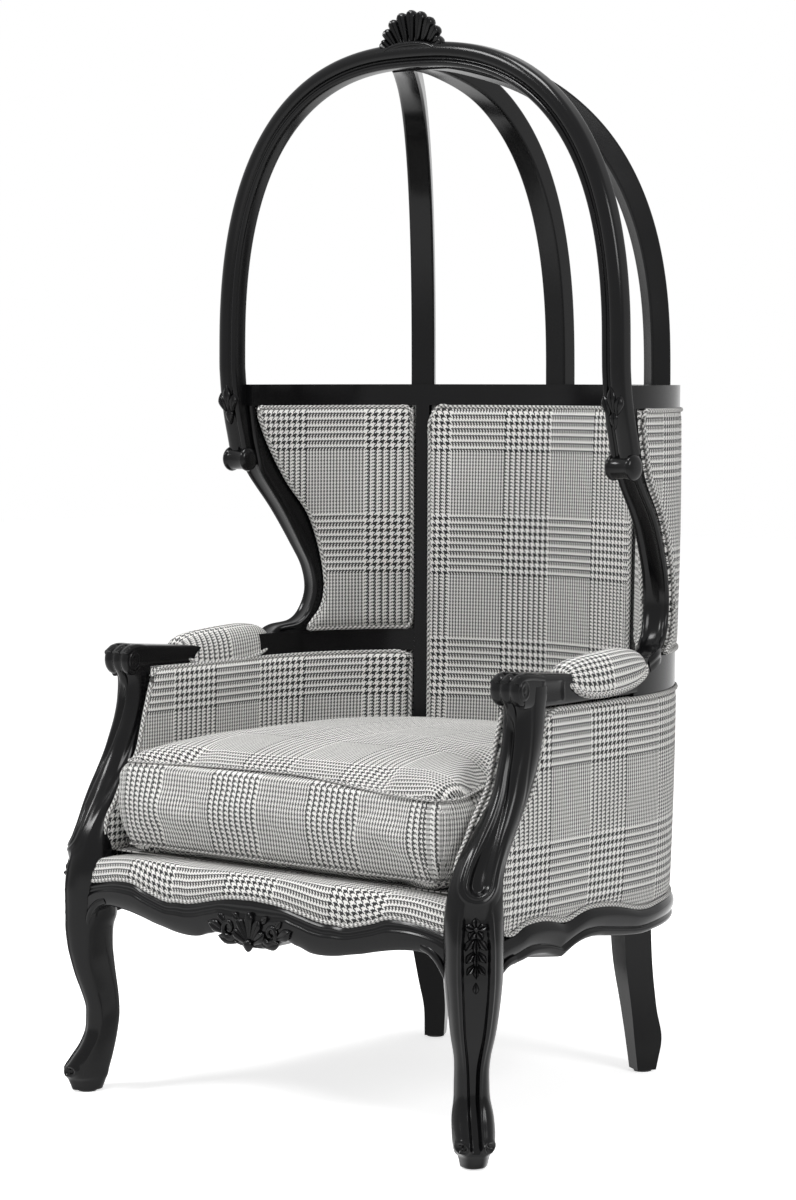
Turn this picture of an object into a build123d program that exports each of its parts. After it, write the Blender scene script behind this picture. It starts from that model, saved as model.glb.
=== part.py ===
from build123d import *
import os
from math import acos, atan2, cos, degrees, hypot, pi, radians, sin, sqrt

# A tall barrel-back armchair whose back frame rises into an open dome of bent ribs.
# The floor is z = 0 and y runs backwards. While the pieces are made, y = 0 is the line
# between the front feet; at the end all of them move so that the origin lies on the
# floor under the middle of the chair. Right means the viewer's right, at +x.

# Driving dimensions, mm

# Outline of the wall seen from above, at the top of the top rail
wall_half_width = 390
stile_in = 150
stile_y = 662
wall_back_y = 727
wing_turn_y = 366
back_lean_upper = 10
back_lean_lower = 20
side_lean_upper = 3
side_lean_lower = 2
lean_foot_z = 290

# Layers of the wall, as depths from its outer face
frame_depth = 46
pad_seat_depth = 38
pad_thickness = 16
skin_thickness = 12
skin_proud = 3
pad_roll = 9
fit_gap = 0.3

# Rails and stiles of the back
top_rail_z = 1082
top_rail_height = 34
stile_half_face = 15
arm_z = 628
arm_height = 54
arm_rebate = 19

# Wing posts between the arms and the top rail
wing_sweep = 138
wing_post_face = 13
wing_post_tongue = 21
wing_post_setback = 6
tongue_near = 12.3
tongue_far = 37.7
wing_edge_shares = (
    (0.514, 0.0), (0.761, 0.022), (0.913, 0.076), (1.0, 0.175), (0.964, 0.287),
    (0.819, 0.402), (0.565, 0.560), (0.239, 0.713), (0.130, 0.780), (0.080, 0.880), (0.010, 1.0),
)
roll_z = 963
roll_y = 355
roll_radius = 18.5
roll_length = 48
roll_cap = 4
roll_bead = 3

# Front arch, and the three ribs behind it
arch_front_y = 320
arch_depth = 29
arch_overhang = 3
arch_width = 37
arch_spring_z = 1119
arch_top_z = 1597
dome_power = 2.51
arch_groove_in = 10
arch_groove_width = 3
arch_groove_depth = 4
arch_round = 7
arch_foot_sweep = 22
rib_spring_z = 1095
rib_under_top_z = 1558
rib_thickness = 32
rib_width = 38
rib_round = 4
rib_meet_y = 300

# Shell on the crown
crest_radius = 48
crest_lobes = 9
crest_lobe_radius = 8.5
crest_lobe_root = 3
crest_lobe_tip = 6
crest_hub_radius = 17
crest_hub_thickness = 22
crest_fan_angle = 160
crest_y = 333

# Arms and arm posts
post_inset = 40
post_width = 50
post_foot_z = 345
post_foot_width = 62
post_head_y = 80
post_head_z = 664
post_head_radius = 19
post_head_groove = 4
post_depth = 60
post_sweep = 106
arm_front_y = 92
arm_saddle = 8
post_front_shares = (
    (0.0, 0.0), (0.16, 0.07), (0.36, 0.25), (0.56, 0.58), (0.75, 0.86), (0.90, 1.0), (1.0, 0.97),
)
post_back_shares = (0.86, 0.84, 0.88, 0.90, 0.90, 0.98, 1.08)

# Arm pads
arm_pad_front_y = 182
arm_pad_length = 218
arm_pad_width = 62
arm_pad_top = 24
arm_pad_wrap = 30
arm_pad_shares = ((0.0, 0.55), (0.12, 0.88), (0.3, 1.0), (0.7, 1.0), (0.88, 0.88), (1.0, 0.55))
arm_pad_foot_share = 0.94

# Front legs, whose sections face the corner of the seat
leg_inset = 15
knee_size = 84
leg_section_shares = (
    (0.0, 0.25, 0.26, 0.46), (0.10, 0.37, 0.40, 0.72), (0.155, 0.24, 0.45, 0.73),
    (0.24, 0.04, 0.53, 0.62), (0.33, -0.03, 0.59, 0.58), (0.42, 0.0, 0.585, 0.60),
    (0.55, 0.17, 0.535, 0.76), (0.66, 0.29, 0.49, 0.88), (0.78, 0.33, 0.50, 0.98),
    (1.0, 0.36, 0.50, 1.02),
)
leg_ridge_share = 0.37
leg_back_share = 0.22
leg_steps = 14
leg_back_round_share = 0.12
glide_radius = 14
glide_height = 3

# Back legs
back_leg_in = 24
back_leg_shift = 9
back_leg_rake = 32
back_leg_splay = 4
back_leg_width = 54
back_leg_depth = 46
back_leg_kick = 14
back_leg_shares = (
    (0.0, 0.60, 0.68, 0.0, 0.0), (0.18, 0.66, 1.02, 0.06, 0.30), (0.36, 0.78, 0.94, 0.34, 0.10),
    (0.65, 0.94, 0.98, 0.78, 0.0), (1.0, 1.04, 1.0, 1.0, 0.0),
)

# Seat rails
seat_rail_proud = 6
seat_rail_thickness = 46
front_rail_y = 24
front_rail_bow = 16
front_rail_low_z = 271
front_rail_rise = 67
rail_lip = 12
rail_lip_proud = 4
front_top_shares = (
    (0.0, 1.0), (0.14, 0.955), (0.30, 0.78), (0.45, 0.66), (0.58, 0.75), (0.69, 0.93),
    (0.80, 0.99), (1.0, 0.85),
)
front_cusp_share = (0.18, 0.24)
front_lobe_shares = ((0.13, 0.09), (0.0, -0.02))
front_bottom_shares = ((0.28, 0.08), (0.39, 0.03), (0.55, 0.13), (0.74, 0.34), (0.88, 0.38), (1.0, 0.10))
side_rail_low_z = 268
side_rail_rise = 61
side_rail_run = 390
side_top_shares = (
    (0.0, 0.80), (0.13, 0.93), (0.22, 0.97), (0.31, 0.92), (0.39, 0.80), (0.46, 0.92), (0.57, 1.0),
    (0.69, 0.95), (0.85, 0.74), (1.0, 0.69),
)
side_cusp_share = (0.365, 0.03)
side_front_shares = ((0.0, 0.0), (0.05, 0.14), (0.14, 0.23), (0.26, 0.18))
side_back_shares = ((0.44, 0.22), (0.54, 0.33), (0.66, 0.31), (0.79, 0.19), (1.0, 0.14))

# Seat: deck, webbing and cover under the loose cushion
deck_top_z = 374
deck_thickness = 56
border_drop = 8
web_thickness = 3
web_width = 55
web_pitch = 105
web_count = 5
cover_thickness = 2
cover_inset = 2
corner_block_size = 78
corner_block_height = 26
back_block_length = 96
back_block_depth = 32
block_screw_radius = 4
block_screw_length = 58

# Loose seat cushion
cushion_side_gap = 5.5
cushion_front_y = 0
cushion_front_draw = 5
cushion_edge_z = 516
cushion_top_z = 545
cushion_bulge = 3
cushion_back_gap = 3
cushion_side_shares = (-1.0, 0.55, 1.0, 0.8, 0.0)
cushion_crown_shares = (1.0, 0.95, 0.86, 0.68, 0.30)

# Dowels that join the arch at its crown and the arm posts to the legs
dowel_radius = 5
dowel_length = 28

# Places worked out from the sizes above
stile_x = wall_half_width - stile_in
arch_half_width = wall_half_width + arch_overhang
leg_x = wall_half_width - leg_inset
post_inner_x = wall_half_width - post_inset
top_rail_low_z = top_rail_z - top_rail_height
arm_top_z = arm_z + arm_height
pad_face = pad_seat_depth + pad_thickness
arch_back_y = arch_front_y + arch_depth
side_rail_front_y = knee_size / sqrt(2) / 2
deck_low_z = deck_top_z - deck_thickness
cushion_low_z = deck_top_z + fit_gap
block_z = deck_low_z - web_thickness - corner_block_height
seat_rail_back_top_z = side_rail_low_z + side_top_shares[-1][1] * side_rail_rise
seat_rail_back_low_z = side_rail_low_z + side_back_shares[-1][1] * side_rail_rise
front_y = -(front_rail_y + front_rail_bow + rail_lip_proud)
centre_y = (front_y + wall_back_y) / 2
post_low_y = post_head_radius - knee_size / sqrt(2) / 2


def polar(cx, cy, radius, angle):
    """Point at an angle turned from +y towards +x."""
    return (cx + radius * sin(angle), cy + radius * cos(angle))


def back_circle_of(corner_x, corner_y, back_y):
    rise = back_y - corner_y
    radius = (corner_x**2 + rise**2) / (2 * rise)
    return radius, atan2(corner_x, corner_y - back_y + radius)


def wall_at(z):
    """Half width, stile corner and back of the wall's outer face at height z."""
    up = min(max((top_rail_z - z) / (top_rail_z - arm_z), 0), 1)
    down = max((arm_z - z) / (arm_z - lean_foot_z), 0)
    lean = back_lean_upper * up + back_lean_lower * down
    side = side_lean_upper * up + side_lean_lower * down
    turn = back_circle_of(stile_x, stile_y, wall_back_y)[1]
    return (wall_half_width - side, stile_x - lean * sin(turn), stile_y - lean * cos(turn), wall_back_y - lean)


def back_circle(z):
    half, corner_x, corner_y, back_y = wall_at(z)
    radius, turn = back_circle_of(corner_x, corner_y, back_y)
    return back_y - radius, radius, turn


def wing_circle(z):
    half, corner_x, corner_y, back_y = wall_at(z)
    across, along = half - corner_x, corner_y - wing_turn_y
    radius = (across**2 + along**2) / (2 * across)
    centre_x = half - radius
    return centre_x, radius, atan2(corner_x - centre_x, along)


def back_plan(z, near, far, start, end):
    """Back wall between two depths, from start to end measured along it from the middle."""
    cy, radius, turn = back_circle(z)
    a, b = start / radius, end / radius
    outer, inner = radius - near, radius - far
    return make_face([
        ThreePointArc(polar(0, cy, outer, a), polar(0, cy, outer, (a + b) / 2), polar(0, cy, outer, b)),
        Line(polar(0, cy, outer, b), polar(0, cy, inner, b)),
        ThreePointArc(polar(0, cy, inner, b), polar(0, cy, inner, (a + b) / 2), polar(0, cy, inner, a)),
        Line(polar(0, cy, inner, a), polar(0, cy, outer, a)),
    ])


def back_half_length(z):
    cy, radius, turn = back_circle(z)
    return radius * turn


def side_plan(z, near, far, start, front):
    """Right-hand wall between two depths, from start past the stile corner to y = front."""
    cx, radius, turn = wing_circle(z)
    a, b = turn + start / radius, pi / 2
    outer, inner = radius - near, radius - far
    return make_face([
        ThreePointArc(polar(cx, wing_turn_y, outer, a), polar(cx, wing_turn_y, outer, (a + b) / 2),
                      polar(cx, wing_turn_y, outer, b)),
        Line((cx + outer, wing_turn_y), (cx + outer, front)),
        Line((cx + outer, front), (cx + inner, front)),
        Line((cx + inner, front), (cx + inner, wing_turn_y)),
        ThreePointArc(polar(cx, wing_turn_y, inner, b), polar(cx, wing_turn_y, inner, (a + b) / 2),
                      polar(cx, wing_turn_y, inner, a)),
        Line(polar(cx, wing_turn_y, inner, a), polar(cx, wing_turn_y, outer, a)),
    ])


def raised(plan, low, high):
    """Wall piece whose plan is given at each height, bent where the wall's lean changes."""
    levels = [low] + ([arm_z] if low < arm_z < high else []) + [high]
    return loft([Pos(0, 0, z) * plan(z) for z in levels], ruled=True)


def shifted(points, distance):
    """The same line of points moved sideways, to the right of its direction."""
    moved = []
    for i, (u, v) in enumerate(points):
        a, b = points[max(i - 1, 0)], points[min(i + 1, len(points) - 1)]
        du, dv = b[0] - a[0], b[1] - a[1]
        length = hypot(du, dv)
        moved.append((u + dv / length * distance, v - du / length * distance))
    return moved


def between(rows, share):
    """Row of values at a share of the height, on a smooth curve through the given rows."""
    keys = [row[0] for row in rows]
    i = max(k for k in range(len(keys) - 1) if keys[k] <= share)
    a, b = rows[i], rows[i + 1]
    before, after = rows[max(i - 1, 0)], rows[min(i + 2, len(rows) - 1)]
    gap = b[0] - a[0]
    t = (share - a[0]) / gap
    values = []
    for p, q, low, high in zip(a[1:], b[1:], before[1:], after[1:]):
        slope_a = (q - low) / (b[0] - before[0]) * gap
        slope_b = (high - p) / (after[0] - a[0]) * gap
        values.append((2 * t**3 - 3 * t**2 + 1) * p + (t**3 - 2 * t**2 + t) * slope_a
                      + (3 * t**2 - 2 * t**3) * q + (t**3 - t**2) * slope_b)
    return values


def side_prism(edges, x, width):
    """Outline drawn in y and z, made solid from x over the given width."""
    return extrude(Plane.YZ.offset(x) * make_face(edges), amount=width)


def front_prism(edges, y, depth):
    """Outline drawn in x and z, made solid from y backwards over the given depth."""
    return extrude(Plane.XZ.offset(-(y + depth)) * make_face(edges), amount=depth)


def outline(points):
    return Polyline(*points, close=True)


def both(name, right):
    """The right-hand piece and its mirror image."""
    return {name + "_right": right, name + "_left": mirror(right, Plane.YZ)}


def wing_edge(distance):
    """Front edge of the wing, moved back into it by a distance."""
    rise = top_rail_low_z - arm_top_z
    edge = [(arch_back_y + s * wing_sweep, arm_top_z + t * rise) for s, t in wing_edge_shares]
    return shifted(edge, distance)


def wing_band(near, far):
    """Strip of the wing between two distances from its front edge, cut square at both ends."""
    front, back = wing_edge(near), wing_edge(far)
    face = [Spline(*front), Line(front[-1], back[-1]), Spline(*back), Line(back[0], front[0])]
    return side_prism(face, 0, wall_half_width + roll_length)


def wing_field(distance):
    """Everything behind a distance from the wing's front edge."""
    front = wing_edge(distance)
    far = wall_back_y + wing_sweep
    face = [Spline(*front), Line(front[-1], (far, front[-1][1])), Line((far, front[-1][1]), (far, front[0][1])),
            Line((far, front[0][1]), front[0])]
    return side_prism(face, 0, wall_half_width + roll_length)


def superellipse(half, spring, top, turns):
    """Points of a quarter dome, from its springing to its crown."""
    points = []
    for i in range(turns + 1):
        t = pi / 2 * i / turns
        points.append((half * cos(t) ** (2 / dome_power), spring + (top - spring) * sin(t) ** (2 / dome_power)))
    return points


def dome_band(outer_half, outer_top, inner_half, inner_top, spring, low):
    """Edges of a bent member that rises from low, springs at spring and ends at the crown."""
    turns = 8
    outer = superellipse(outer_half, spring, outer_top, turns)
    inner = superellipse(inner_half, spring, inner_top, turns)
    tangents = ((0, 1), (-1, 0))
    legs = [Line((outer_half, low), outer[0]), Line(inner[0], (inner_half, low))] if low < spring else []
    return legs + [
        Spline(*outer, tangents=tangents), Line(outer[-1], inner[-1]), Spline(*inner, tangents=tangents),
        Line((inner_half, low), (outer_half, low)),
    ]


def arch_half():
    """Right half of the moulded front arch: a broad torus outside, a groove and an inner bead."""
    inner_half, inner_top = arch_half_width - arch_width, arch_top_z - arch_width
    band = dome_band(arch_half_width, arch_top_z, inner_half, inner_top, arch_spring_z, arch_spring_z)
    body = front_prism(band, arch_front_y, arch_depth)
    near, far = inner_half + arch_groove_in, inner_half + arch_groove_in + arch_groove_width
    low, high = inner_top + arch_groove_in, inner_top + arch_groove_in + arch_groove_width
    groove = front_prism(dome_band(far, high, near, low, arch_spring_z, arch_spring_z),
                         arch_front_y, arch_groove_depth)
    front_edges = [e for e in body.edges() if abs(e.center().Y - arch_front_y) < arch_groove_depth
                   and e.length > arch_half_width]
    return fillet(front_edges, arch_round) - groove


def arch_foot():
    """Foot of the arch, bending back from the springing down onto the roll."""
    top, low = arch_spring_z, roll_z + roll_radius
    back = arch_front_y + arch_foot_sweep
    reach = (top - low) / 2
    front = Spline((arch_front_y, top), (back, low), tangents=((0, -1), (arch_foot_sweep, -reach)))
    rear = Spline((arch_back_y, top), (back + arch_depth, low), tangents=((0, -1), (arch_foot_sweep, -reach)))
    edges = [front, Line(front @ 1, rear @ 1), rear, Line(rear @ 0, front @ 0)]
    return side_prism(edges, arch_half_width - arch_width, arch_width)


def wing_roll():
    """Turned roll across the front of the wing, with a bead near each rounded end."""
    half, r, cap, bead = roll_length / 2, roll_radius, roll_cap, roll_bead
    quarter = cap * (1 - sqrt(0.5))
    start, end = half - cap - 2 * bead, half - cap
    edges = [Line((-half, 0), (half, 0))]
    for side in (-1, 1):
        edges += [
            Line((side * half, 0), (side * half, r - cap)),
            ThreePointArc((side * half, r - cap), (side * (half - quarter), r - quarter), (side * end, r)),
            ThreePointArc((side * end, r), (side * (start + end) / 2, r + bead), (side * start, r)),
        ]
    edges.append(Line((-start, r), (start, r)))
    roll = revolve(make_face(edges), Axis.X)
    return Pos(arch_half_width - arch_width / 2, roll_y, roll_z) * roll


def wing_post():
    """S-shaped post from the arm up to the top rail, with a tongue behind for the upholstery."""
    low, high = arm_top_z, top_rail_low_z
    face = raised(lambda z: side_plan(z, wing_post_setback, frame_depth, 0, arch_front_y), low, high)
    tongue = raised(lambda z: side_plan(z, tongue_near, tongue_far, 0, arch_front_y), low, high)
    post = face & wing_band(0, wing_post_face)
    return post + (tongue & wing_band(wing_post_face, wing_post_face + wing_post_tongue))


def stile_plan(z):
    """Section of the stile: two faces that meet at the corner of the wall, outside and inside."""
    half, corner_x, corner_y, back_y = wall_at(z)
    cy, radius, turn = back_circle(z)
    cx, wing_radius, wing_turn = wing_circle(z)
    corner = (corner_x, corner_y)
    a, b = stile_half_face / radius, stile_half_face / wing_radius
    back_end, wing_end = turn - a, wing_turn + b
    mid = (turn + wing_turn) / 2
    reach = frame_depth / cos(wing_turn - mid)
    inner = (corner_x - reach * sin(mid), corner_y - reach * cos(mid))
    return make_face([
        ThreePointArc(polar(0, cy, radius, back_end), polar(0, cy, radius, turn - a / 2), corner),
        ThreePointArc(corner, polar(cx, wing_turn_y, wing_radius, wing_turn + b / 2),
                      polar(cx, wing_turn_y, wing_radius, wing_end)),
        Line(polar(cx, wing_turn_y, wing_radius, wing_end),
             polar(cx, wing_turn_y, wing_radius - frame_depth, wing_end)),
        Line(polar(cx, wing_turn_y, wing_radius - frame_depth, wing_end), inner),
        Line(inner, polar(0, cy, radius - frame_depth, back_end)),
        Line(polar(0, cy, radius - frame_depth, back_end), polar(0, cy, radius, back_end)),
    ])


def stile():
    """Right-hand back stile, following the corner where the back wall meets the wing."""
    return raised(stile_plan, seat_rail_back_top_z, top_rail_low_z)


def top_rail_side():
    front = arch_back_y + fit_gap
    return raised(lambda z: side_plan(z, 0, frame_depth, 0, front), top_rail_low_z, top_rail_z)


def top_rail_back():
    """Back of the top rail, cut so that it butts against the two side rails."""
    rail = raised(lambda z: back_plan(z, 0, frame_depth, -back_half_length(z), back_half_length(z)),
                  top_rail_low_z, top_rail_z)
    side = top_rail_side()
    return rail - side - mirror(side, Plane.YZ)


def rib(foot_x, foot_y, cutters):
    """Bent rib in the upright plane through its foot and the point where the ribs meet."""
    reach = hypot(foot_x, foot_y - rib_meet_y)
    turn = degrees(atan2(-foot_x, foot_y - rib_meet_y))
    half = rib_thickness / 2
    edges = dome_band(reach + half, rib_under_top_z + rib_thickness, reach - half, rib_under_top_z,
                      rib_spring_z, top_rail_z)
    flat = side_prism(edges, -rib_width / 2, rib_width)
    long_edges = [e for e in flat.edges() if e.length > reach]
    bent = Pos(0, rib_meet_y, 0) * Rot(0, 0, turn) * fillet(long_edges, rib_round)
    behind = Pos(0, arch_back_y + wall_back_y, 0) * Box(
        4 * wall_half_width, 2 * wall_back_y, 4 * arch_top_z)
    for cutter in cutters:
        bent = bent - cutter
    return bent & behind


def rib_foot(angle_share):
    """Middle of a rib's foot on the top rail, at a share of the turn to the stile."""
    cy, radius, turn = back_circle(top_rail_z)
    return polar(0, cy, radius - rib_thickness / 2, turn * angle_share)


def crest_shell():
    """Fluted shell on the crown: lobes with blunt ends fanned out over a half-round hub."""
    base = arch_top_z
    shell = Cylinder(crest_hub_radius, crest_hub_thickness)
    length = crest_radius - crest_lobe_tip
    for i in range(crest_lobes):
        angle = crest_fan_angle * (i / (crest_lobes - 1) - 0.5)
        lobe = Pos(0, length / 2, 0) * Rot(-90, 0, 0) * Cone(crest_lobe_root, crest_lobe_radius, length)
        tip = Pos(0, length + crest_lobe_tip / 2, 0) * Rot(-90, 0, 0) * Cone(
            crest_lobe_radius, crest_lobe_radius / 2, crest_lobe_tip)
        shell = shell + Rot(0, 0, angle) * (lobe + tip)
    upright = Pos(0, crest_y, base) * Rot(90, 0, 0) * shell
    above = Pos(0, crest_y, base + crest_radius) * Box(4 * crest_radius, 4 * crest_radius, 2 * crest_radius)
    return upright & above


def arm():
    """Right-hand arm, from behind the scroll back to the wing post, drawn in towards the wall."""
    half = wall_at(arm_top_z)[0]
    inner, outer = post_inner_x, post_inner_x + post_width
    plan = make_face(outline([(inner, arm_front_y), (outer, arm_front_y), (half, wing_turn_y),
                              (half - frame_depth, wing_turn_y)]))
    body = Pos(0, 0, arm_z) * extrude(plan, amount=arm_height)
    middle = (arm_front_y + wing_turn_y) / 2
    top = Spline((arm_front_y, arm_top_z), (middle, arm_top_z - arm_saddle), (wing_turn_y, arm_top_z))
    edges = [top, Line((wing_turn_y, arm_top_z), (wing_turn_y, arm_z)),
             Line((wing_turn_y, arm_z), (arm_front_y, arm_z)),
             Line((arm_front_y, arm_z), (arm_front_y, arm_top_z))]
    return body & side_prism(edges, 0, 2 * outer)


def arm_rail():
    """Curved rail at arm level from the arm to the stile, rebated below for the inside panel."""
    start, front = stile_half_face + fit_gap, wing_turn_y
    step_z = arm_z + arm_rebate
    upper = raised(lambda z: side_plan(z, 0, frame_depth, start, front - fit_gap), step_z, arm_top_z)
    lower = raised(lambda z: side_plan(z, 0, tongue_far, start, front - fit_gap), arm_z, step_z)
    strip = Pos(0, wing_turn_y - wall_back_y, arm_z) * Box(4 * wall_half_width, 2 * wall_back_y, 4 * arm_height)
    return (upper + lower) - strip


def post_section(z, front, back, inner, outer):
    corner = (outer - inner) / 5
    plan = Pos((inner + outer) / 2, (front + back) / 2) * RectangleRounded(outer - inner, back - front, corner)
    return Pos(0, 0, z) * plan


def arm_post():
    """Right-hand arm post: swept back from the knee and curling over in a three-lobed scroll."""
    neck_z = post_head_z - post_head_radius
    rise = neck_z - post_foot_z
    sections = []
    rows = [(height, sweep, back) for (height, sweep), back in zip(post_front_shares, post_back_shares)]
    for i in range(leg_steps + 1):
        height = i / leg_steps
        sweep, back = between(rows, height)
        z = post_foot_z + rise * height
        width = post_foot_width + (post_width - post_foot_width) * min(height * 2, 1)
        front = post_low_y + post_sweep * sweep
        outer = post_inner_x + post_width + (width - post_width) / 4
        sections.append(post_section(z, front, front + post_depth * back, outer - width, outer))
    body = loft(sections)
    centre_x = post_inner_x + post_width / 2
    depth = post_low_y + post_sweep * post_front_shares[-1][1] + post_depth * post_back_shares[-1] - post_head_y
    block = Pos(centre_x, post_head_y + depth / 2, post_head_z) * Box(post_width, depth, 2 * post_head_radius)
    return body + block + post_head()


def post_head():
    """Scroll at the top of the arm post: three rounded lobes side by side."""
    lobe = post_width / 3
    r = post_head_radius
    profile = [(0, 0), (0, r - post_head_groove)]
    edges = [Line(profile[0], profile[1])]
    for i in range(3):
        a, b = i * lobe, (i + 1) * lobe
        edges.append(ThreePointArc((a, r - post_head_groove), ((a + b) / 2, r), (b, r - post_head_groove)))
    edges += [Line((post_width, r - post_head_groove), (post_width, 0)), Line((post_width, 0), (0, 0))]
    return Pos(post_inner_x, post_head_y, post_head_z) * revolve(make_face(edges), Axis.X)


def arm_pad():
    """Padded sleeve over the arm: crowned, rounded at both ends and wrapped down its sides."""
    centre_x = (post_inner_x + post_width / 2 + wall_at(arm_top_z)[0] - frame_depth / 2) / 2
    half, low = arm_pad_width / 2, -arm_pad_wrap
    y0, length = arm_pad_front_y, arm_pad_length
    sections = []
    for along, size in arm_pad_shares:
        w, top, bottom = half * size, arm_pad_top * size, low * size
        foot = w * arm_pad_foot_share
        edges = [Line((-w, 0), (-foot, bottom)), Line((-foot, bottom), (foot, bottom)),
                 Line((foot, bottom), (w, 0)), ThreePointArc((w, 0), (0, top), (-w, 0))]
        plane = Plane(origin=(centre_x, y0 + along * length, arm_top_z), x_dir=(-1, 0, 0), z_dir=(0, 1, 0))
        sections.append(plane * make_face(edges))
    return loft(sections) - arm()


def leg_plan(z, out, back, width):
    """Section of the right front leg: round to the corner, ridged at both sides, narrow behind."""
    depth = out + back
    ridge = out - leg_ridge_share * depth
    heel, heel_half = -back + leg_back_round_share * depth, leg_back_share * width
    def place(a, b):
        return (leg_x + (a + b) / sqrt(2), (b - a) / sqrt(2))
    half = width / 2
    return Pos(0, 0, z) * make_face([
        ThreePointArc(place(ridge, -half), place(out, 0), place(ridge, half)),
        Line(place(ridge, half), place(heel, heel_half)),
        ThreePointArc(place(heel, heel_half), place(-back, 0), place(heel, -heel_half)),
        Line(place(heel, -heel_half), place(ridge, -half)),
    ])


def front_leg():
    sections = []
    for i in range(leg_steps + 1):
        height = i / leg_steps
        out, back, width = between(leg_section_shares, height)
        z = glide_height + height * (post_foot_z - glide_height)
        sections.append(leg_plan(z, out * knee_size, back * knee_size, width * knee_size))
    return loft(sections)


def back_leg():
    """Right-hand back leg: square, raked back and kicked out just above the floor."""
    top_x, top_y, turn = back_leg_top()
    sections = []
    for i in range(leg_steps + 1):
        height = i / leg_steps
        width, depth, stand, kick = between(back_leg_shares, height)
        z = glide_height + height * (seat_rail_back_low_z - glide_height)
        x = top_x + back_leg_splay * (1 - stand)
        y = top_y + back_leg_rake * (1 - stand) + back_leg_kick * kick
        plan = Rectangle(back_leg_width * width, back_leg_depth * depth)
        sections.append(Pos(x, y, z) * Rot(0, 0, -degrees(turn)) * plan)
    return loft(sections)


def back_leg_top():
    """Middle of the right back leg where it meets the rails, and the turn of the wall there."""
    half, corner_x, corner_y, back_y = wall_at(lean_foot_z)
    turn = back_circle(lean_foot_z)[2]
    x = corner_x - back_leg_in * sin(turn) - back_leg_shift * cos(turn)
    y = corner_y - back_leg_in * cos(turn) + back_leg_shift * sin(turn)
    return x, y, turn


def glides():
    """Flat glides under the four feet."""
    x, y, turn = back_leg_top()
    places = [(leg_x, 0), (x + back_leg_splay, y + back_leg_rake)]
    discs = [Pos(side * x, y, glide_height / 2) * Cylinder(glide_radius, glide_height)
             for x, y in places for side in (-1, 1)]
    return compound(discs)


def rail_points(shares, run, low, rise, start=0):
    return [(start + s * run, low + t * rise) for s, t in shares]


def front_rail():
    """Serpentine front seat rail with a scalloped lower edge and a lip along it."""
    run = leg_x - knee_size / sqrt(2) / 2
    low, rise = front_rail_low_z, front_rail_rise
    top = rail_points(front_top_shares, run, low, rise)
    bottom = rail_points((front_cusp_share,) + front_bottom_shares, run, low, rise)
    lobe = rail_points((front_cusp_share,) + front_lobe_shares, run, low, rise)

    def across(points):
        return [(-x, z) for x, z in reversed(points) if x > 0] + points

    lobe_line = [(-x, z) for x, z in lobe[:-1]] + list(reversed(lobe))
    top_line = across(top)
    left = [(-x, z) for x, z in bottom]
    face = [Spline(*top_line), Line(top_line[-1], bottom[-1]), Spline(*bottom), Spline(*lobe_line),
            Spline(*left), Line(left[-1], top_line[0])]
    back = front_rail_y + front_rail_bow
    body = front_prism(face, -back - rail_lip_proud, back + seat_rail_thickness + rail_lip_proud)

    def plan(proud):
        y = -front_rail_y - proud
        deep = y + seat_rail_thickness
        return extrude(make_face([
            ThreePointArc((-run, y), (0, y - front_rail_bow), (run, y)), Line((run, y), (run, deep)),
            ThreePointArc((run, deep), (0, deep - front_rail_bow), (-run, deep)), Line((-run, deep), (-run, y)),
        ]), amount=2 * (low + rise))

    lip = [front_prism(lip_band(line, rail_lip), -back - rail_lip_proud, back + seat_rail_thickness)
           for line in (bottom, [(x, z) for x, z in reversed(left)])]
    rail = body & plan(0)
    for band in lip:
        rail = rail + (band & plan(rail_lip_proud))
    return rail


def lip_band(line, height):
    """Outline of the lip that follows the lower edge of a rail."""
    upper = [(u, v + height) for u, v in line]
    return [Spline(*line), Line(line[-1], upper[-1]), Spline(*upper), Line(upper[0], line[0])]


def side_rail_lines():
    run, low, rise = side_rail_run, side_rail_low_z, side_rail_rise
    start = side_rail_front_y
    top = rail_points(side_top_shares, run, low, rise, start)
    front = rail_points(side_front_shares + (side_cusp_share,), run, low, rise, start)
    back = rail_points((side_cusp_share,) + side_back_shares, run, low, rise, start)
    return top, front, back


def side_rail():
    """Right-hand seat rail, bent round to the stile, with a cusp in its scalloped lower edge."""
    top, front, back = side_rail_lines()
    far = wall_back_y
    face = [Spline(*top), Line(top[-1], (far, top[-1][1])), Line((far, top[-1][1]), (far, back[-1][1])),
            Line((far, back[-1][1]), back[-1]), Spline(*back), Spline(*front), Line(front[0], top[0])]
    low, high = side_rail_low_z - side_rail_rise, side_rail_low_z + 2 * side_rail_rise
    def ring(proud):
        return raised(lambda z: side_plan(z, -proud, seat_rail_thickness, 0, side_rail_front_y), low, high)
    body = ring(seat_rail_proud) & side_prism(face, 0, 2 * wall_half_width)
    lip = ring(seat_rail_proud + rail_lip_proud)
    for line in (front, back):
        body = body + (lip & side_prism(lip_band(line, rail_lip), 0, 2 * wall_half_width))
    return body


def back_rail():
    rail = raised(lambda z: back_plan(z, -seat_rail_proud, seat_rail_thickness, -back_half_length(z),
                                      back_half_length(z)), seat_rail_back_low_z, seat_rail_back_top_z)
    side = side_rail()
    return rail - side - mirror(side, Plane.YZ)


def pad_levels(low, high, edge, face):
    """Heights and far depths of a pad that is fullest in the middle of its height."""
    steps = 4
    levels = []
    for i in range(steps + 1):
        fullness = 1 - (2 * i / steps - 1) ** 2
        levels.append((low + (high - low) * i / steps, edge + (face - edge) * fullness))
    return levels


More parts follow.
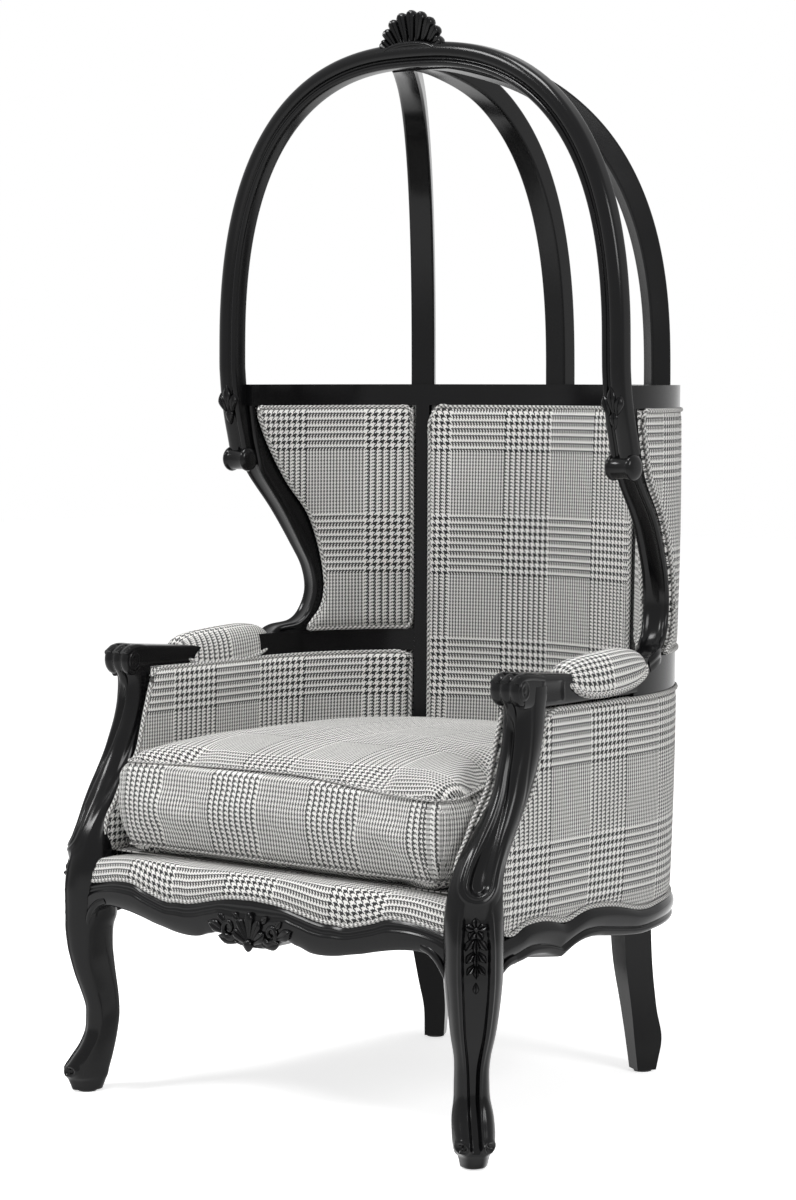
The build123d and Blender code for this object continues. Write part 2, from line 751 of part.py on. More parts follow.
def back_pad(low, high):
    """Inside back panel: a crowned pad held between the stiles."""
    edge = pad_face - pad_roll / 2
    sections = []
    for z, far in pad_levels(low, high, edge, pad_face):
        reach = back_half_length(z) - stile_half_face - fit_gap
        sections.append(Pos(0, 0, z) * back_plan(z, pad_seat_depth, far, -reach, reach))
    return loft(sections)


def back_skin(low, high):
    edge = -skin_proud / 3
    sections = []
    for z, far in pad_levels(low, high, edge, -skin_proud):
        reach = back_half_length(z) - stile_half_face - fit_gap
        sections.append(Pos(0, 0, z) * back_plan(z, far, skin_thickness, -reach, reach))
    return loft(sections)


def side_pad(low, high, front):
    sections = []
    for z, far in pad_levels(low, high, pad_face - pad_roll / 2, pad_face):
        plan = side_plan(z, pad_seat_depth, far, stile_half_face + fit_gap, front)
        sections.append(Pos(0, 0, z) * plan)
    return loft(sections)


def side_skin(low, high, front):
    sections = []
    for z, far in pad_levels(low, high, -skin_proud / 3, -skin_proud):
        plan = side_plan(z, far, skin_thickness, stile_half_face + fit_gap, front)
        sections.append(Pos(0, 0, z) * plan)
    return loft(sections)


def post_back_edge(distance):
    """Rear edge of the arm post in y and z, moved back by a distance."""
    rise = post_head_z - post_head_radius - post_foot_z
    points = []
    for (height, sweep), back in zip(post_front_shares, post_back_shares):
        y = post_low_y + post_sweep * sweep + post_depth * back + distance
        points.append((y, post_foot_z + rise * height))
    return points


def arm_field(low_line, distance):
    """Everything behind the arm post and above a line."""
    edge = post_back_edge(distance)
    far = wall_back_y + post_sweep
    start = (edge[0][0], low_line[0][1])
    line = [p for p in low_line if p[0] > start[0] + distance]
    first = (line[0][0], line[0][1])
    above = (edge[-1][0], arm_top_z)
    return [Spline(*edge), Line(edge[-1], above), Line(above, (far, arm_top_z)),
            Line((far, arm_top_z), (far, line[-1][1])), Line((far, line[-1][1]), line[-1]), Spline(*line),
            Line(first, (edge[0][0], first[1])), Line((edge[0][0], first[1]), edge[0])]


def arm_skin():
    """Outside arm panel between the post, the arm rail, the stile and the seat rail."""
    top = side_rail_lines()[0]
    above = [(y, z + fit_gap) for y, z in top]
    low = side_rail_low_z + side_rail_rise / 2
    skin = side_skin(low, arm_z - fit_gap, side_rail_front_y)
    return skin & side_prism(arm_field(above, fit_gap), 0, 2 * wall_half_width)


def arm_inside_pad():
    """Inside arm panel, from the seat deck up into the rebate under the arm."""
    low, high = deck_top_z + fit_gap, arm_z + arm_rebate - fit_gap
    pad = side_pad(low, high, side_rail_front_y)
    edge = post_back_edge(fit_gap)
    far = wall_back_y + post_sweep
    above = (edge[-1][0], arm_top_z)
    face = [Spline(*edge), Line(edge[-1], above), Line(above, (far, arm_top_z)),
            Line((far, arm_top_z), (far, edge[0][1])), Line((far, edge[0][1]), edge[0])]
    return (pad & side_prism(face, 0, 2 * wall_half_width)) - arm()


def inner_plan(z, depth, front):
    """Area inside the wall at a depth from its outer face, closed by a line at y = front."""
    half, corner_x, corner_y, back_y = wall_at(z)
    cy, radius, turn = back_circle(z)
    cx, wing_radius, wing_turn = wing_circle(z)
    mid_turn = (turn + wing_turn) / 2
    corner = (corner_x - depth * sin(mid_turn), corner_y - depth * cos(mid_turn))
    side = polar(cx, wing_turn_y, wing_radius - depth, (wing_turn + pi / 2) / 2)
    edge = (half - depth, wing_turn_y)

    def left(point):
        return (-point[0], point[1])

    return make_face([
        Line((-edge[0], front), (edge[0], front)), Line((edge[0], front), edge),
        ThreePointArc(edge, side, corner), ThreePointArc(corner, (0, back_y - depth), left(corner)),
        ThreePointArc(left(corner), left(side), left(edge)), Line(left(edge), (-edge[0], front)),
    ])


def seat_deck():
    """Upholstered platform that the cushion lies on, down to the top of the front rail."""
    plan = inner_plan(deck_low_z, frame_depth + fit_gap, side_rail_front_y + fit_gap)
    return Pos(0, 0, deck_low_z) * extrude(plan, amount=deck_thickness)


def seat_border():
    """Padded front border of the seat, fitted over the serpentine top of the front rail."""
    run = leg_x - knee_size / sqrt(2) / 2 - fit_gap
    low, rise = front_rail_low_z, front_rail_rise
    line = [(x, z + fit_gap) for x, z in rail_points(front_top_shares, run, low, rise)]
    full = [(-x, z) for x, z in reversed(line) if x > 0] + line
    high = deck_top_z
    edge = deck_top_z - border_drop
    top = ThreePointArc((run, edge), (0, high), (-run, edge))
    face = [Spline(*full), Line(full[-1], (run, edge)), top, Line((-run, edge), full[0])]
    y = -front_rail_y + rail_lip_proud
    deep = side_rail_front_y
    plan = extrude(make_face([
        ThreePointArc((-run, y), (0, y - front_rail_bow), (run, y)), Line((run, y), (run, deep)),
        Line((run, deep), (-run, deep)), Line((-run, deep), (-run, y)),
    ]), amount=2 * high)
    return front_prism(face, y - 2 * front_rail_bow, deep - y + 3 * front_rail_bow) & plan


def seat_cushion():
    """Loose cushion: drawn in at both piped edges, bulging between them and crowned on top."""
    steps = len(cushion_side_shares) - 1
    sides = []
    for i, share in enumerate(cushion_side_shares):
        z = cushion_low_z + (cushion_edge_z - cushion_low_z) * i / steps
        sides.append(Pos(0, 0, z) * cushion_plan(share * cushion_bulge))
    crown = []
    for i, size in enumerate(cushion_crown_shares):
        z = cushion_edge_z + (cushion_top_z - cushion_edge_z) * i / (len(cushion_crown_shares) - 1)
        crown.append(Pos(0, 0, z) * cushion_plan(0, size))
    return loft(sides) + loft(crown)


def webbing():
    """Webbing under the deck, woven in one layer, from rail to rail."""
    inside = inner_plan(deck_low_z, seat_rail_thickness + fit_gap, side_rail_front_y)
    area = Pos(0, 0, deck_low_z - web_thickness) * extrude(inside, amount=web_thickness)
    strips = []
    middle = (side_rail_front_y + wall_back_y) / 2
    for i in range(web_count):
        offset = (i - (web_count - 1) / 2) * web_pitch
        strips.append(Pos(offset, middle, deck_low_z) * Box(web_width, wall_back_y, 2 * web_thickness))
        strips.append(Pos(0, middle + offset, deck_low_z) * Box(2 * wall_half_width, web_width, 2 * web_thickness))
    net = strips[0]
    for strip in strips[1:]:
        net = net + strip
    return area & net


def dust_cover():
    """Thin cloth stapled under the seat, between the rails."""
    z = block_z - cover_thickness
    area = inner_plan(z, seat_rail_thickness + cover_inset, side_rail_front_y)
    return Pos(0, 0, z) * extrude(area, amount=cover_thickness)


def front_block_plan():
    corner_x = wall_at(block_z)[0] - seat_rail_thickness
    corner_y = seat_rail_thickness - front_rail_y
    size = corner_block_size
    deep = corner_y - front_rail_bow / 2
    return outline([(corner_x, deep), (corner_x - size, deep), (corner_x - size, corner_y),
                    (corner_x - size / 3, corner_y + size * 2 / 3), (corner_x, corner_y + size)])


def front_block(cutters):
    """Corner block between the front leg and the two rails beside it."""
    block = Pos(0, 0, block_z) * extrude(make_face(front_block_plan()), amount=corner_block_height)
    for cutter in cutters:
        block = block - cutter
    return block


def back_corner(depth):
    half, corner_x, corner_y, back_y = wall_at(block_z)
    turn = (back_circle(block_z)[2] + wing_circle(block_z)[2]) / 2
    return corner_x - depth * sin(turn), corner_y - depth * cos(turn), degrees(turn)


def back_block(cutters):
    x, y, turn = back_corner(seat_rail_thickness + back_block_depth / 2 - cover_inset)
    block = Pos(x, y, block_z + corner_block_height / 2) * Rot(0, 0, -turn) * Box(
        back_block_length, back_block_depth, corner_block_height)
    for cutter in cutters:
        block = block - cutter
    return block


def block_screws():
    """Two screws through each right-hand corner block into the rails."""
    z = block_z + corner_block_height / 2
    rod = Cylinder(block_screw_radius, block_screw_length)
    corner_x = wall_at(block_z)[0] - seat_rail_thickness
    corner_y = seat_rail_thickness - front_rail_y
    reach = corner_block_size * 2 / 3
    screws = [
        Pos(corner_x - reach, corner_y, z) * Rot(90, 0, 0) * rod,
        Pos(corner_x, corner_y + reach, z) * Rot(0, 90, 0) * rod,
    ]
    x, y, turn = back_corner(seat_rail_thickness)
    for side in (-1, 1):
        along = side * back_block_length / 4
        screws.append(Pos(x, y, z) * Rot(0, 0, -turn) * Pos(along, 0, 0) * Rot(90, 0, 0) * rod)
    return screws


def arch_dowel():
    z = arch_top_z - arch_width / 2
    return Pos(0, arch_front_y + arch_depth / 2, z) * Rot(0, 90, 0) * Cylinder(dowel_radius, 2 * dowel_length)


def post_dowel():
    return Pos(leg_x, 0, post_foot_z) * Cylinder(dowel_radius, 2 * dowel_length)


def less(piece, *cutters):
    """The piece without what the others take up."""
    for cutter in cutters:
        piece = piece - cutter
    return piece


def compound(solids):
    return Compound(children=[s.solid() for s in solids])


def cushion_plan(grow, size=1):
    """Outline of the cushion, drawn in along its front and following the back panel behind."""
    z = deck_top_z
    half, corner_x, corner_y, back_y = wall_at(z)
    depth = pad_face + cushion_back_gap + cushion_bulge - grow
    cx, wing_radius, wing_turn = wing_circle(z)
    turn = (back_circle(z)[2] + wing_turn) / 2
    middle = (cushion_front_y + back_y - depth) / 2

    def sized(point):
        return (point[0] * size, middle + (point[1] - middle) * size)

    def left(point):
        return (-point[0], point[1])

    corner = sized((corner_x - depth * sin(turn), corner_y - depth * cos(turn)))
    side = sized(polar(cx, wing_turn_y, wing_radius - depth, (wing_turn + pi / 2) / 2))
    edge = sized((half - depth, wing_turn_y))
    front = sized((half - pad_face - cushion_side_gap + grow, cushion_front_y - grow))
    front_middle = sized((0, cushion_front_y - grow + cushion_front_draw))
    return make_face([
        ThreePointArc(left(front), front_middle, front), Line(front, edge), ThreePointArc(edge, side, corner),
        ThreePointArc(corner, sized((0, back_y - depth)), left(corner)),
        ThreePointArc(left(corner), left(side), left(edge)), Line(left(edge), left(front)),
    ])


def chair():
    """All pieces of the chair by name."""
    pieces = {}
    leg, post, rail, roll = front_leg(), arm_post(), side_rail(), wing_roll()
    foot = less(arch_foot(), roll)
    screws, peg, key = block_screws(), post_dowel(), arch_dowel()
    back = less(back_rail(), *screws, *[mirror(s, Plane.YZ) for s in screws])
    both_legs = [leg, mirror(leg, Plane.YZ), post, mirror(post, Plane.YZ)]
    upright = stile()
    uprights = [upright, mirror(upright, Plane.YZ)]
    face = less(front_rail(), *both_legs, *screws, *[mirror(s, Plane.YZ) for s in screws])
    rail = less(rail, leg, *screws)
    pieces.update(both("front_leg", less(leg, peg)))
    pieces.update(both("back_leg", back_leg()))
    pieces["foot_glides"] = glides()
    pieces["front_seat_rail"] = face
    pieces.update(both("side_seat_rail", rail))
    pieces["back_seat_rail"] = back
    pieces.update(both("arm_post", less(post, peg)))
    pieces.update(both("arm", less(arm(), post)))
    pieces.update(both("arm_rail", arm_rail()))
    pieces.update(both("arm_pad", less(arm_pad(), arm_rail())))
    pieces.update(both("back_stile", upright))
    pieces.update(both("wing_post", less(wing_post(), roll, foot)))
    pieces.update(both("wing_roll", roll))
    pieces.update(both("arch_foot", foot))
    pieces.update(both("arch", less(arch_half(), key)))
    pieces.update(both("top_rail", less(top_rail_side(), foot)))
    pieces["top_rail_back"] = top_rail_back()
    centre_rib = rib(0, rib_foot(0)[1], [])
    pieces["dome_rib_centre"] = centre_rib
    pieces.update(both("dome_rib", rib(*rib_foot(1), [centre_rib])))
    pieces["crest_shell"] = crest_shell()
    pieces["inside_back_panel"] = back_pad(deck_top_z + fit_gap, top_rail_low_z - fit_gap)
    pieces["outside_back_panel"] = back_skin(seat_rail_back_top_z + fit_gap, top_rail_low_z - fit_gap)
    wing_pad = side_pad(arm_top_z + fit_gap, top_rail_low_z - fit_gap, arch_front_y)
    pieces.update(both("inside_wing_panel", wing_pad & wing_field(wing_post_face + fit_gap)))
    wing_skin = side_skin(arm_top_z + fit_gap, top_rail_low_z - fit_gap, arch_front_y)
    pieces.update(both("outside_wing_panel", wing_skin & wing_field(wing_post_face + fit_gap)))
    pieces.update(both("inside_arm_panel", less(arm_inside_pad(), post)))
    pieces.update(both("outside_arm_panel", less(arm_skin(), post, leg)))
    pieces["seat_deck"] = less(seat_deck(), *both_legs, *uprights)
    pieces["seat_border"] = less(seat_border(), *both_legs)
    pieces["seat_cushion"] = seat_cushion()
    pieces["seat_webbing"] = less(webbing(), *uprights)
    blocks = [front_block([face, rail, leg] + screws), back_block([back, rail, upright] + screws)]
    pieces["corner_blocks"] = compound(blocks + [mirror(b, Plane.YZ) for b in blocks])
    pieces["block_screws"] = compound(screws + [mirror(s, Plane.YZ) for s in screws])
    pieces["dust_cover"] = dust_cover()
    pieces["arch_dowel"] = key
    pieces["post_dowels"] = compound([peg, mirror(peg, Plane.YZ)])
    return pieces


os.makedirs("parts", exist_ok=True)
for name, piece in chair().items():
    export_step(Pos(0, -centre_y, 0) * piece, "parts/" + name + ".step")
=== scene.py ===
from bisect import bisect_right
from functools import partial
from math import acos, atan2, copysign, cos, exp, hypot, pi, radians, sin, sqrt

import bmesh
import bpy
from mathutils import Matrix, Vector
from mathutils.bvhtree import BVHTree


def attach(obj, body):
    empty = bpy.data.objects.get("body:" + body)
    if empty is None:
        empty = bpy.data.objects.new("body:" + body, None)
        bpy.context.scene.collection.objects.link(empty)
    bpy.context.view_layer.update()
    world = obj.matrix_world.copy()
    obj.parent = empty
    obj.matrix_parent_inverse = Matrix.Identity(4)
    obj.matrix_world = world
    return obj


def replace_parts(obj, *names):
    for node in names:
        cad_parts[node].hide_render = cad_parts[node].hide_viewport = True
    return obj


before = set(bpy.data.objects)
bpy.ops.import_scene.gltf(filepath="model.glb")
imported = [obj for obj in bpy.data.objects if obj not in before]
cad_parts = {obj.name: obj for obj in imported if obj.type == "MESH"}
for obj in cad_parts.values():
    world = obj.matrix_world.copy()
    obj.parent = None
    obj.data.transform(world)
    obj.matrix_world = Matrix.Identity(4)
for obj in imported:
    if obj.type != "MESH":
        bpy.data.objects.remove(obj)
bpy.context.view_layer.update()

# Shapes are worked out in millimetres from the line between the front feet, as in the
# part's source, and go into the row's frame in metres when a mesh is made.
MM = 0.001
CENTRE_Y = 341.5

# The wall of the chair seen from above: outer face of the wood
WALL_HALF, STILE_X, STILE_Y, WALL_BACK, WING_TURN = 390, 240, 662, 727, 366
TOP_Z, TOP_LOW_Z, ARM_LOW_Z, ARM_TOP_Z = 1082, 1048, 628, 682
STILE_FACE = 15
WOOD_DEPTH = 46
DECK_Z = 374
SIDES = ("right", "left")


def row(x, y, z):
    return Vector((x * MM, (y - CENTRE_Y) * MM, z * MM))


def mix(a, b, t):
    return a + (b - a) * t


def smooth(t):
    t = min(max(t, 0), 1)
    return t * t * (3 - 2 * t)


def hump(t, power=1.0):
    """Half wave from 0 through 1 back to 0 as t goes from 0 to 1."""
    return max(sin(pi * min(max(t, 0), 1)), 0) ** power


def signed(value, power):
    """Power of a value that keeps its sign."""
    return copysign(abs(value) ** power, value)


def curve(points, spot):
    """Value at spot on a smooth line through (spot, value) pairs."""
    if spot <= points[0][0]:
        return points[0][1]
    if spot >= points[-1][0]:
        return points[-1][1]
    i = max(k for k in range(len(points) - 1) if points[k][0] <= spot)
    a, b = points[i], points[i + 1]
    before, after = points[max(i - 1, 0)], points[min(i + 2, len(points) - 1)]
    gap = b[0] - a[0]
    t = (spot - a[0]) / gap
    slope_a = (b[1] - before[1]) / (b[0] - before[0]) * gap
    slope_b = (after[1] - a[1]) / (after[0] - a[0]) * gap
    return ((2 * t**3 - 3 * t**2 + 1) * a[1] + (t**3 - 2 * t**2 + t) * slope_a
            + (3 * t**2 - 2 * t**3) * b[1] + (t**3 - t**2) * slope_b)


# Materials


def colour(hexcode):
    """sRGB hex to the linear colour that shaders use."""
    parts = [int(hexcode[i:i + 2], 16) / 255 for i in (1, 3, 5)]
    return [p / 12.92 if p <= 0.04045 else ((p + 0.055) / 1.055) ** 2.4 for p in parts] + [1.0]


def feed(node, inputs):
    """Sets or links a node's inputs; each is a value, an output, or a node for its first output."""
    for key, value in inputs.items() if isinstance(inputs, dict) else enumerate(inputs):
        if isinstance(value, bpy.types.Node):
            value = value.outputs[0]
        if isinstance(value, bpy.types.NodeSocket):
            node.id_data.links.new(value, node.inputs[key])
        else:
            node.inputs[key].default_value = value


def add(tree, kind, inputs=(), **settings):
    """One shader node with its settings and inputs."""
    node = tree.nodes.new("ShaderNode" + kind)
    for name, value in settings.items():
        setattr(node, name, value)
    feed(node, inputs)
    return node


def material(name):
    made = bpy.data.materials.new(name)
    made.use_nodes = True
    return made, partial(add, made.node_tree), made.node_tree.nodes["Principled BSDF"]


def lacquer():
    """Gloss black lacquer sprayed over carved wood: a trace of grain and orange peel under the shine."""
    made, node, shader = material("black_lacquer")
    where = node("TexCoord").outputs["Object"]
    # grain runs up the wood, so it is drawn out eight times along Z
    along = node("Mapping", {"Vector": where, "Scale": (1.0, 1.0, 0.12)})
    peel = node("TexNoise", {"Vector": where, "Scale": 90.0})
    grain = node("TexNoise", {"Vector": along, "Scale": 260.0, "Detail": 3.0})
    cloud = node("TexNoise", {"Vector": where, "Scale": 9.0, "Detail": 3.0})
    height = node("Mix", {0: 0.6, 2: grain, 3: peel})
    feed(shader, {
        "Base Color": node(
            "Mix", {0: cloud, 6: colour("#070708"), 7: colour("#0e0e0f")}, data_type="RGBA").outputs[2],
        "Roughness": node("MapRange", [cloud, 0.3, 0.7, 0.14, 0.21]),
        "Normal": node("Bump", {"Height": height, "Distance": 0.00003, "Strength": 0.5}),
        "Specular IOR Level": 0.17})
    return made


# one thread of the cloth in metres
THREAD = 0.00139


def check_cloth(name, banded=True):
    """Glen check in a 2/2 twill: bands of four dark and four light threads cross fields of two and two."""
    made, node, shader = material(name)
    axes = node("SeparateXYZ", [node("UVMap", uv_map="weave")]).outputs

    def thread(axis):
        return node("Math", [node("Math", [axes[axis], THREAD], operation="DIVIDE")], operation="FLOOR")

    def first(count, repeat, part):
        """1 for the first part of each repeat of threads and 0 for the rest."""
        within = node("Math", [count, repeat], operation="FLOORED_MODULO")
        return node("Math", [within, part], operation="LESS_THAN")

    def dark(count):
        """1 where the thread is dark; the field of two and two has less contrast than the bands."""
        field = node("Math", [first(count, 4.0, 2.0), 0.76, 0.12], operation="MULTIPLY_ADD")
        band = first(count, 144.0, 72.0) if banded else 0.0
        return node("Mix", {0: band, 2: field, 3: first(count, 8.0, 4.0)})

    def rib(axis):
        """Round back of each yarn."""
        wave = node("Math", [axes[axis], pi / THREAD], operation="MULTIPLY")
        return node("Math", [node("Math", [wave], operation="SINE")], operation="ABSOLUTE")

    across, along = thread(0), thread(1)
    over = first(node("Math", [node("Math", [across, along]), 1.0]), 4.0, 2.0)
    shade = node("Mix", {0: over, 2: dark(along), 3: dark(across)})
    place = node("TexCoord").outputs["Object"]
    wear = node("TexNoise", {"Vector": place, "Scale": 14.0, "Detail": 3.0})
    fuzz = node("TexNoise", {"Vector": place, "Scale": 900.0})
    light = node("Mix", {0: wear, 6: colour("#d8d7d4"), 7: colour("#e8e7e4")}, data_type="RGBA").outputs[2]
    black = node("Mix", {0: fuzz, 6: colour("#1a1a1b"), 7: colour("#343435")}, data_type="RGBA").outputs[2]
    yarn = node("Mix", {0: over, 2: rib(1), 3: rib(0)})
    height = node("Math", [fuzz, 0.35, yarn], operation="MULTIPLY_ADD")
    feed(shader, {
        "Base Color": node("Mix", {0: shade, 6: light, 7: black}, data_type="RGBA").outputs[2],
        "Normal": node("Bump", {"Height": height, "Distance": 0.0003, "Strength": 0.8}),
        "Roughness": 0.88, "Sheen Weight": 0.12, "Sheen Roughness": 0.5, "Specular IOR Level": 0.25})
    return made


def plain(name, low, high, scale, rough, depth, metallic=0.0):
    """A material with a mottled colour and a fine surface, for parts that hardly show."""
    made, node, shader = material(name)
    spots = node("TexNoise", {"Vector": node("TexCoord").outputs["Object"], "Scale": scale, "Detail": 4.0})
    feed(shader, {
        "Base Color": node("Mix", {0: spots, 6: colour(low), 7: colour(high)}, data_type="RGBA").outputs[2],
        "Normal": node("Bump", {"Height": spots, "Distance": depth, "Strength": 1.0}),
        "Roughness": rough, "Metallic": metallic})
    return made


# sprayed and polished lacquer: deep black with sharp, slightly wavy highlights
LACQUER = lacquer()
# dry woven wool: matt, with a faint sheen where it turns away
CHECK = check_cloth("glen_check_wool")
# the same cloth cut on the bias for piping, where only the fine field shows
PIPING = check_cloth("bias_cut_piping", banded=False)
# bare sawn beech of the corner blocks and dowels: pale and matt
BEECH = plain("bare_beech", "#b8905f", "#d2ae80", 60.0, 0.6, 0.0002)
# woven jute under the seat: coarse and brown
JUTE = plain("jute_webbing", "#8f7a55", "#b39c72", 300.0, 0.9, 0.0005)
# thin woven cloth stapled under the seat: flat black
COVER = plain("black_cover_cloth", "#141414", "#222222", 500.0, 0.9, 0.0002)
# zinc plated screws: dull silver
STEEL = plain("zinc_steel", "#8d8f92", "#a9abae", 120.0, 0.35, 0.00005, 1.0)
# moulded nylon glides under the feet: dark and waxy
NYLON = plain("nylon_glide", "#191919", "#262626", 200.0, 0.5, 0.0001)


# Meshes


def placed(name, bm):
    """Object from a bmesh, which is used up."""
    mesh = bpy.data.meshes.new(name)
    bm.to_mesh(mesh)
    bm.free()
    piece = bpy.data.objects.new(name, mesh)
    bpy.context.scene.collection.objects.link(piece)
    return piece


def flip(bm):
    """Turns a right-hand mesh into its left-hand mirror image."""
    bmesh.ops.scale(bm, verts=bm.verts, vec=(-1, 1, 1))
    bmesh.ops.reverse_faces(bm, faces=bm.faces)
    return bm


def finish(name, bm, stuff, side="", body="frame", sharp=0.9):
    """Painted piece that rides on a body; shapes are drawn for the right side and mirrored for the left."""
    piece = placed(name + "_" + side if side else name, flip(bm) if side == "left" else bm)
    mesh = piece.data
    mesh.materials.append(stuff)
    if stuff == CHECK:
        mesh.materials.append(PIPING)
    mesh.shade_smooth()
    mesh.set_sharp_from_angle(angle=sharp)
    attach(piece, body)
    return piece


def sheet_bm(columns, rows, place, weave=None, weld=False):
    """Grid of columns by rows bent to place(s, t), its meeting edges welded if asked.

    weave(s, t) gives its cloth coordinates in metres.
    """
    work = bmesh.new()
    bmesh.ops.create_grid(work, x_segments=columns, y_segments=rows, size=0.5)
    layer = work.loops.layers.uv.new("weave")
    spots = {v: (v.co.x + 0.5, v.co.y + 0.5) for v in work.verts}
    if weave:
        for face in work.faces:
            for loop in face.loops:
                loop[layer].uv = weave(*spots[loop.vert])
    for v, (s, t) in spots.items():
        v.co = row(*place(s, t))
    if weld:
        bmesh.ops.remove_doubles(work, verts=work.verts, dist=0.00001)
    return work


def merged(parts):
    """One bmesh from several."""
    whole = bmesh.new()
    for part in parts:
        mesh = bpy.data.meshes.new("part")
        part.to_mesh(mesh)
        part.free()
        whole.from_mesh(mesh)
        bpy.data.meshes.remove(mesh)
    return whole


def close_ends(bm):
    bmesh.ops.holes_fill(bm, edges=[e for e in bm.edges if e.is_boundary], sides=0)
    bmesh.ops.recalc_face_normals(bm, faces=bm.faces)


def thicken(bm, out, thickness=0.002):
    """Turns an open sheet into a closed shell with its outer face towards out."""
    bm.normal_update()
    bm.faces.ensure_lookup_table()
    if bm.faces[len(bm.faces) // 2].normal.dot(out) < 0:
        bmesh.ops.reverse_faces(bm, faces=bm.faces)
        bm.normal_update()
    bmesh.ops.solidify(bm, geom=bm.faces[:], thickness=thickness)


class Path:
    """Smooth line through points in mm, read by share of its length."""

    def __init__(self, points, closed=False, fine=8):
        dense = []
        count = len(points)
        spans = count if closed else count - 1
        for i in range(spans):
            near = [(i + k) % count if closed else min(max(i + k, 0), count - 1) for k in (-1, 0, 1, 2)]
            p = [points[k] for k in near]
            for j in range(fine):
                t = j / fine
                dense.append(tuple(0.5 * (2 * b + (c - a) * t + (2 * a - 5 * b + 4 * c - d) * t * t
                                          + (3 * b - a - 3 * c + d) * t**3) for a, b, c, d in zip(*p)))
        dense.append(points[0] if closed else points[-1])
        self.points = [Vector(p) for p in dense]
        self.lengths = [0.0]
        for a, b in zip(self.points, self.points[1:]):
            self.lengths.append(self.lengths[-1] + (b - a).length)
        self.length = self.lengths[-1]
        self.closed = closed

    def at(self, share):
        spot = share % 1.0 * self.length if self.closed and share != 1 else min(max(share, 0), 1) * self.length
        high = min(bisect_right(self.lengths, spot), len(self.lengths) - 1)
        low = high - 1
        gap = self.lengths[high] - self.lengths[low]
        t = (spot - self.lengths[low]) / gap if gap else 0
        return self.points[low].lerp(self.points[high], t)

    def direction(self, share):
        step = 0.5 / len(self.points)
        a = share - step if self.closed or share > step else 0
        b = share + step if self.closed or share < 1 - step else 1
        return (self.at(b) - self.at(a)).normalized()


def tube_bm(path, section, steps, turns, up=(0, 0, 1), weave=None):
    """Section swept along a path. section(share, turn) gives the offset sideways and upwards in mm."""
    def place(s, t):
        spot, ahead = path.at(s), path.direction(s)
        side = ahead.cross(up(spot) if callable(up) else Vector(up)).normalized()
        top = side.cross(ahead)
        a, b = section(s, t)
        return spot + side * a + top * b

    return sheet_bm(steps, turns, place, weave, weld=True)


def oval(start, end):
    """Section for tube_bm that goes from start to end, each half width and half height in mm."""
    def section(s, t):
        return mix(start[0], end[0], s) * cos(2 * pi * t), mix(start[1], end[1], s) * sin(2 * pi * t)
    return section


def roll_bm(points, start, end, steps, turns, up=(0, 0, 1)):
    """Closed roll of oval section along a line."""
    bm = tube_bm(Path(points), oval(start, end), steps, turns, up)
    close_ends(bm)
    return bm


def piping_bm(points, radius=3.4, closed=True):
    """Cord covered in the same cloth cut on the bias."""
    path = Path(points, closed)
    pace, around, bias = 5, 10, sqrt(0.5)

    def weave(s, t):
        a, b = s * path.length * MM, t * 2 * pi * radius * MM
        return (a + b) * bias, (a - b) * bias

    steps = max(int(path.length / pace), 8)
    bm = tube_bm(path, oval((radius, radius), (radius, radius)), steps, around, weave=weave)
    if not closed:
        close_ends(bm)
    for face in bm.faces:
        face.material_index = 1
    return bm


# The wall's shape


def back_circle_of(x, y, back):
    """Radius of the back's arc and the angle at which it meets the stile."""
    rise = back - y
    radius = (x * x + rise * rise) / (2 * rise)
    return radius, atan2(x, y - back + radius)


def wall_at(z):
    """Half width, stile corner and back of the wall at height z; it leans out as it rises."""
    up = min(max((TOP_Z - z) / (TOP_Z - ARM_LOW_Z), 0), 1)
    down = max((ARM_LOW_Z - z) / (ARM_LOW_Z - 290), 0)
    lean, side = 10 * up + 20 * down, 3 * up + 2 * down
    turn = back_circle_of(STILE_X, STILE_Y, WALL_BACK)[1]
    return WALL_HALF - side, STILE_X - lean * sin(turn), STILE_Y - lean * cos(turn), WALL_BACK - lean


def back_circle(z):
    _, x, y, back = wall_at(z)
    radius, turn = back_circle_of(x, y, back)
    return back - radius, radius, turn


def wing_circle(z):
    half, x, y, _ = wall_at(z)
    across, along = half - x, y - WING_TURN
    radius = (across * across + along * along) / (2 * across)
    return half - radius, radius, atan2(x - half + radius, along)


def back_point(a, z, depth):
    """Point on the back wall at arc length a from the middle, measured at that depth."""
    cy, radius, _ = back_circle(z)
    r = radius - depth
    return (r * sin(a / r), cy + r * cos(a / r), z)


def back_reach(z, depth, gap):
    _, radius, turn = back_circle(z)
    return (radius - depth) * (turn - gap / radius)


def side_point(a, z, depth):
    """Point on the right-hand wall at arc length a forward from the stile corner."""
    cx, radius, turn = wing_circle(z)
    r = radius - depth
    bend = r * (pi / 2 - turn)
    if a > bend:
        return (cx + r, WING_TURN - (a - bend), z)
    angle = turn + a / r
    return (cx + r * sin(angle), WING_TURN + r * cos(angle), z)


def side_reach(y, z, depth):
    """Arc length from the stile corner to the place where the wall passes y."""
    _, radius, turn = wing_circle(z)
    r = radius - depth
    if y < WING_TURN:
        return r * (pi / 2 - turn) + WING_TURN - y
    return r * (acos(min((y - WING_TURN) / r, 1)) - turn)


# Upholstered panels


def roll(distance, width):
    """0 at a panel's edge, rising like a quarter circle to 1 at width inside it."""
    t = min(max(distance / width, 0), 1)
    return sqrt(1 - (1 - t) ** 2)


def fullness(s, t, wide, high, edge=24):
    """Share of a panel's fullness: rolled edges and a crown in the middle."""
    across, up = min(s, 1 - s) * wide, min(t, 1 - t) * high
    crown = 0.62 + 0.38 * (1 - (2 * s - 1) ** 2) * (1 - (2 * t - 1) ** 2)
    return roll(across, edge) * roll(up, edge) * crown


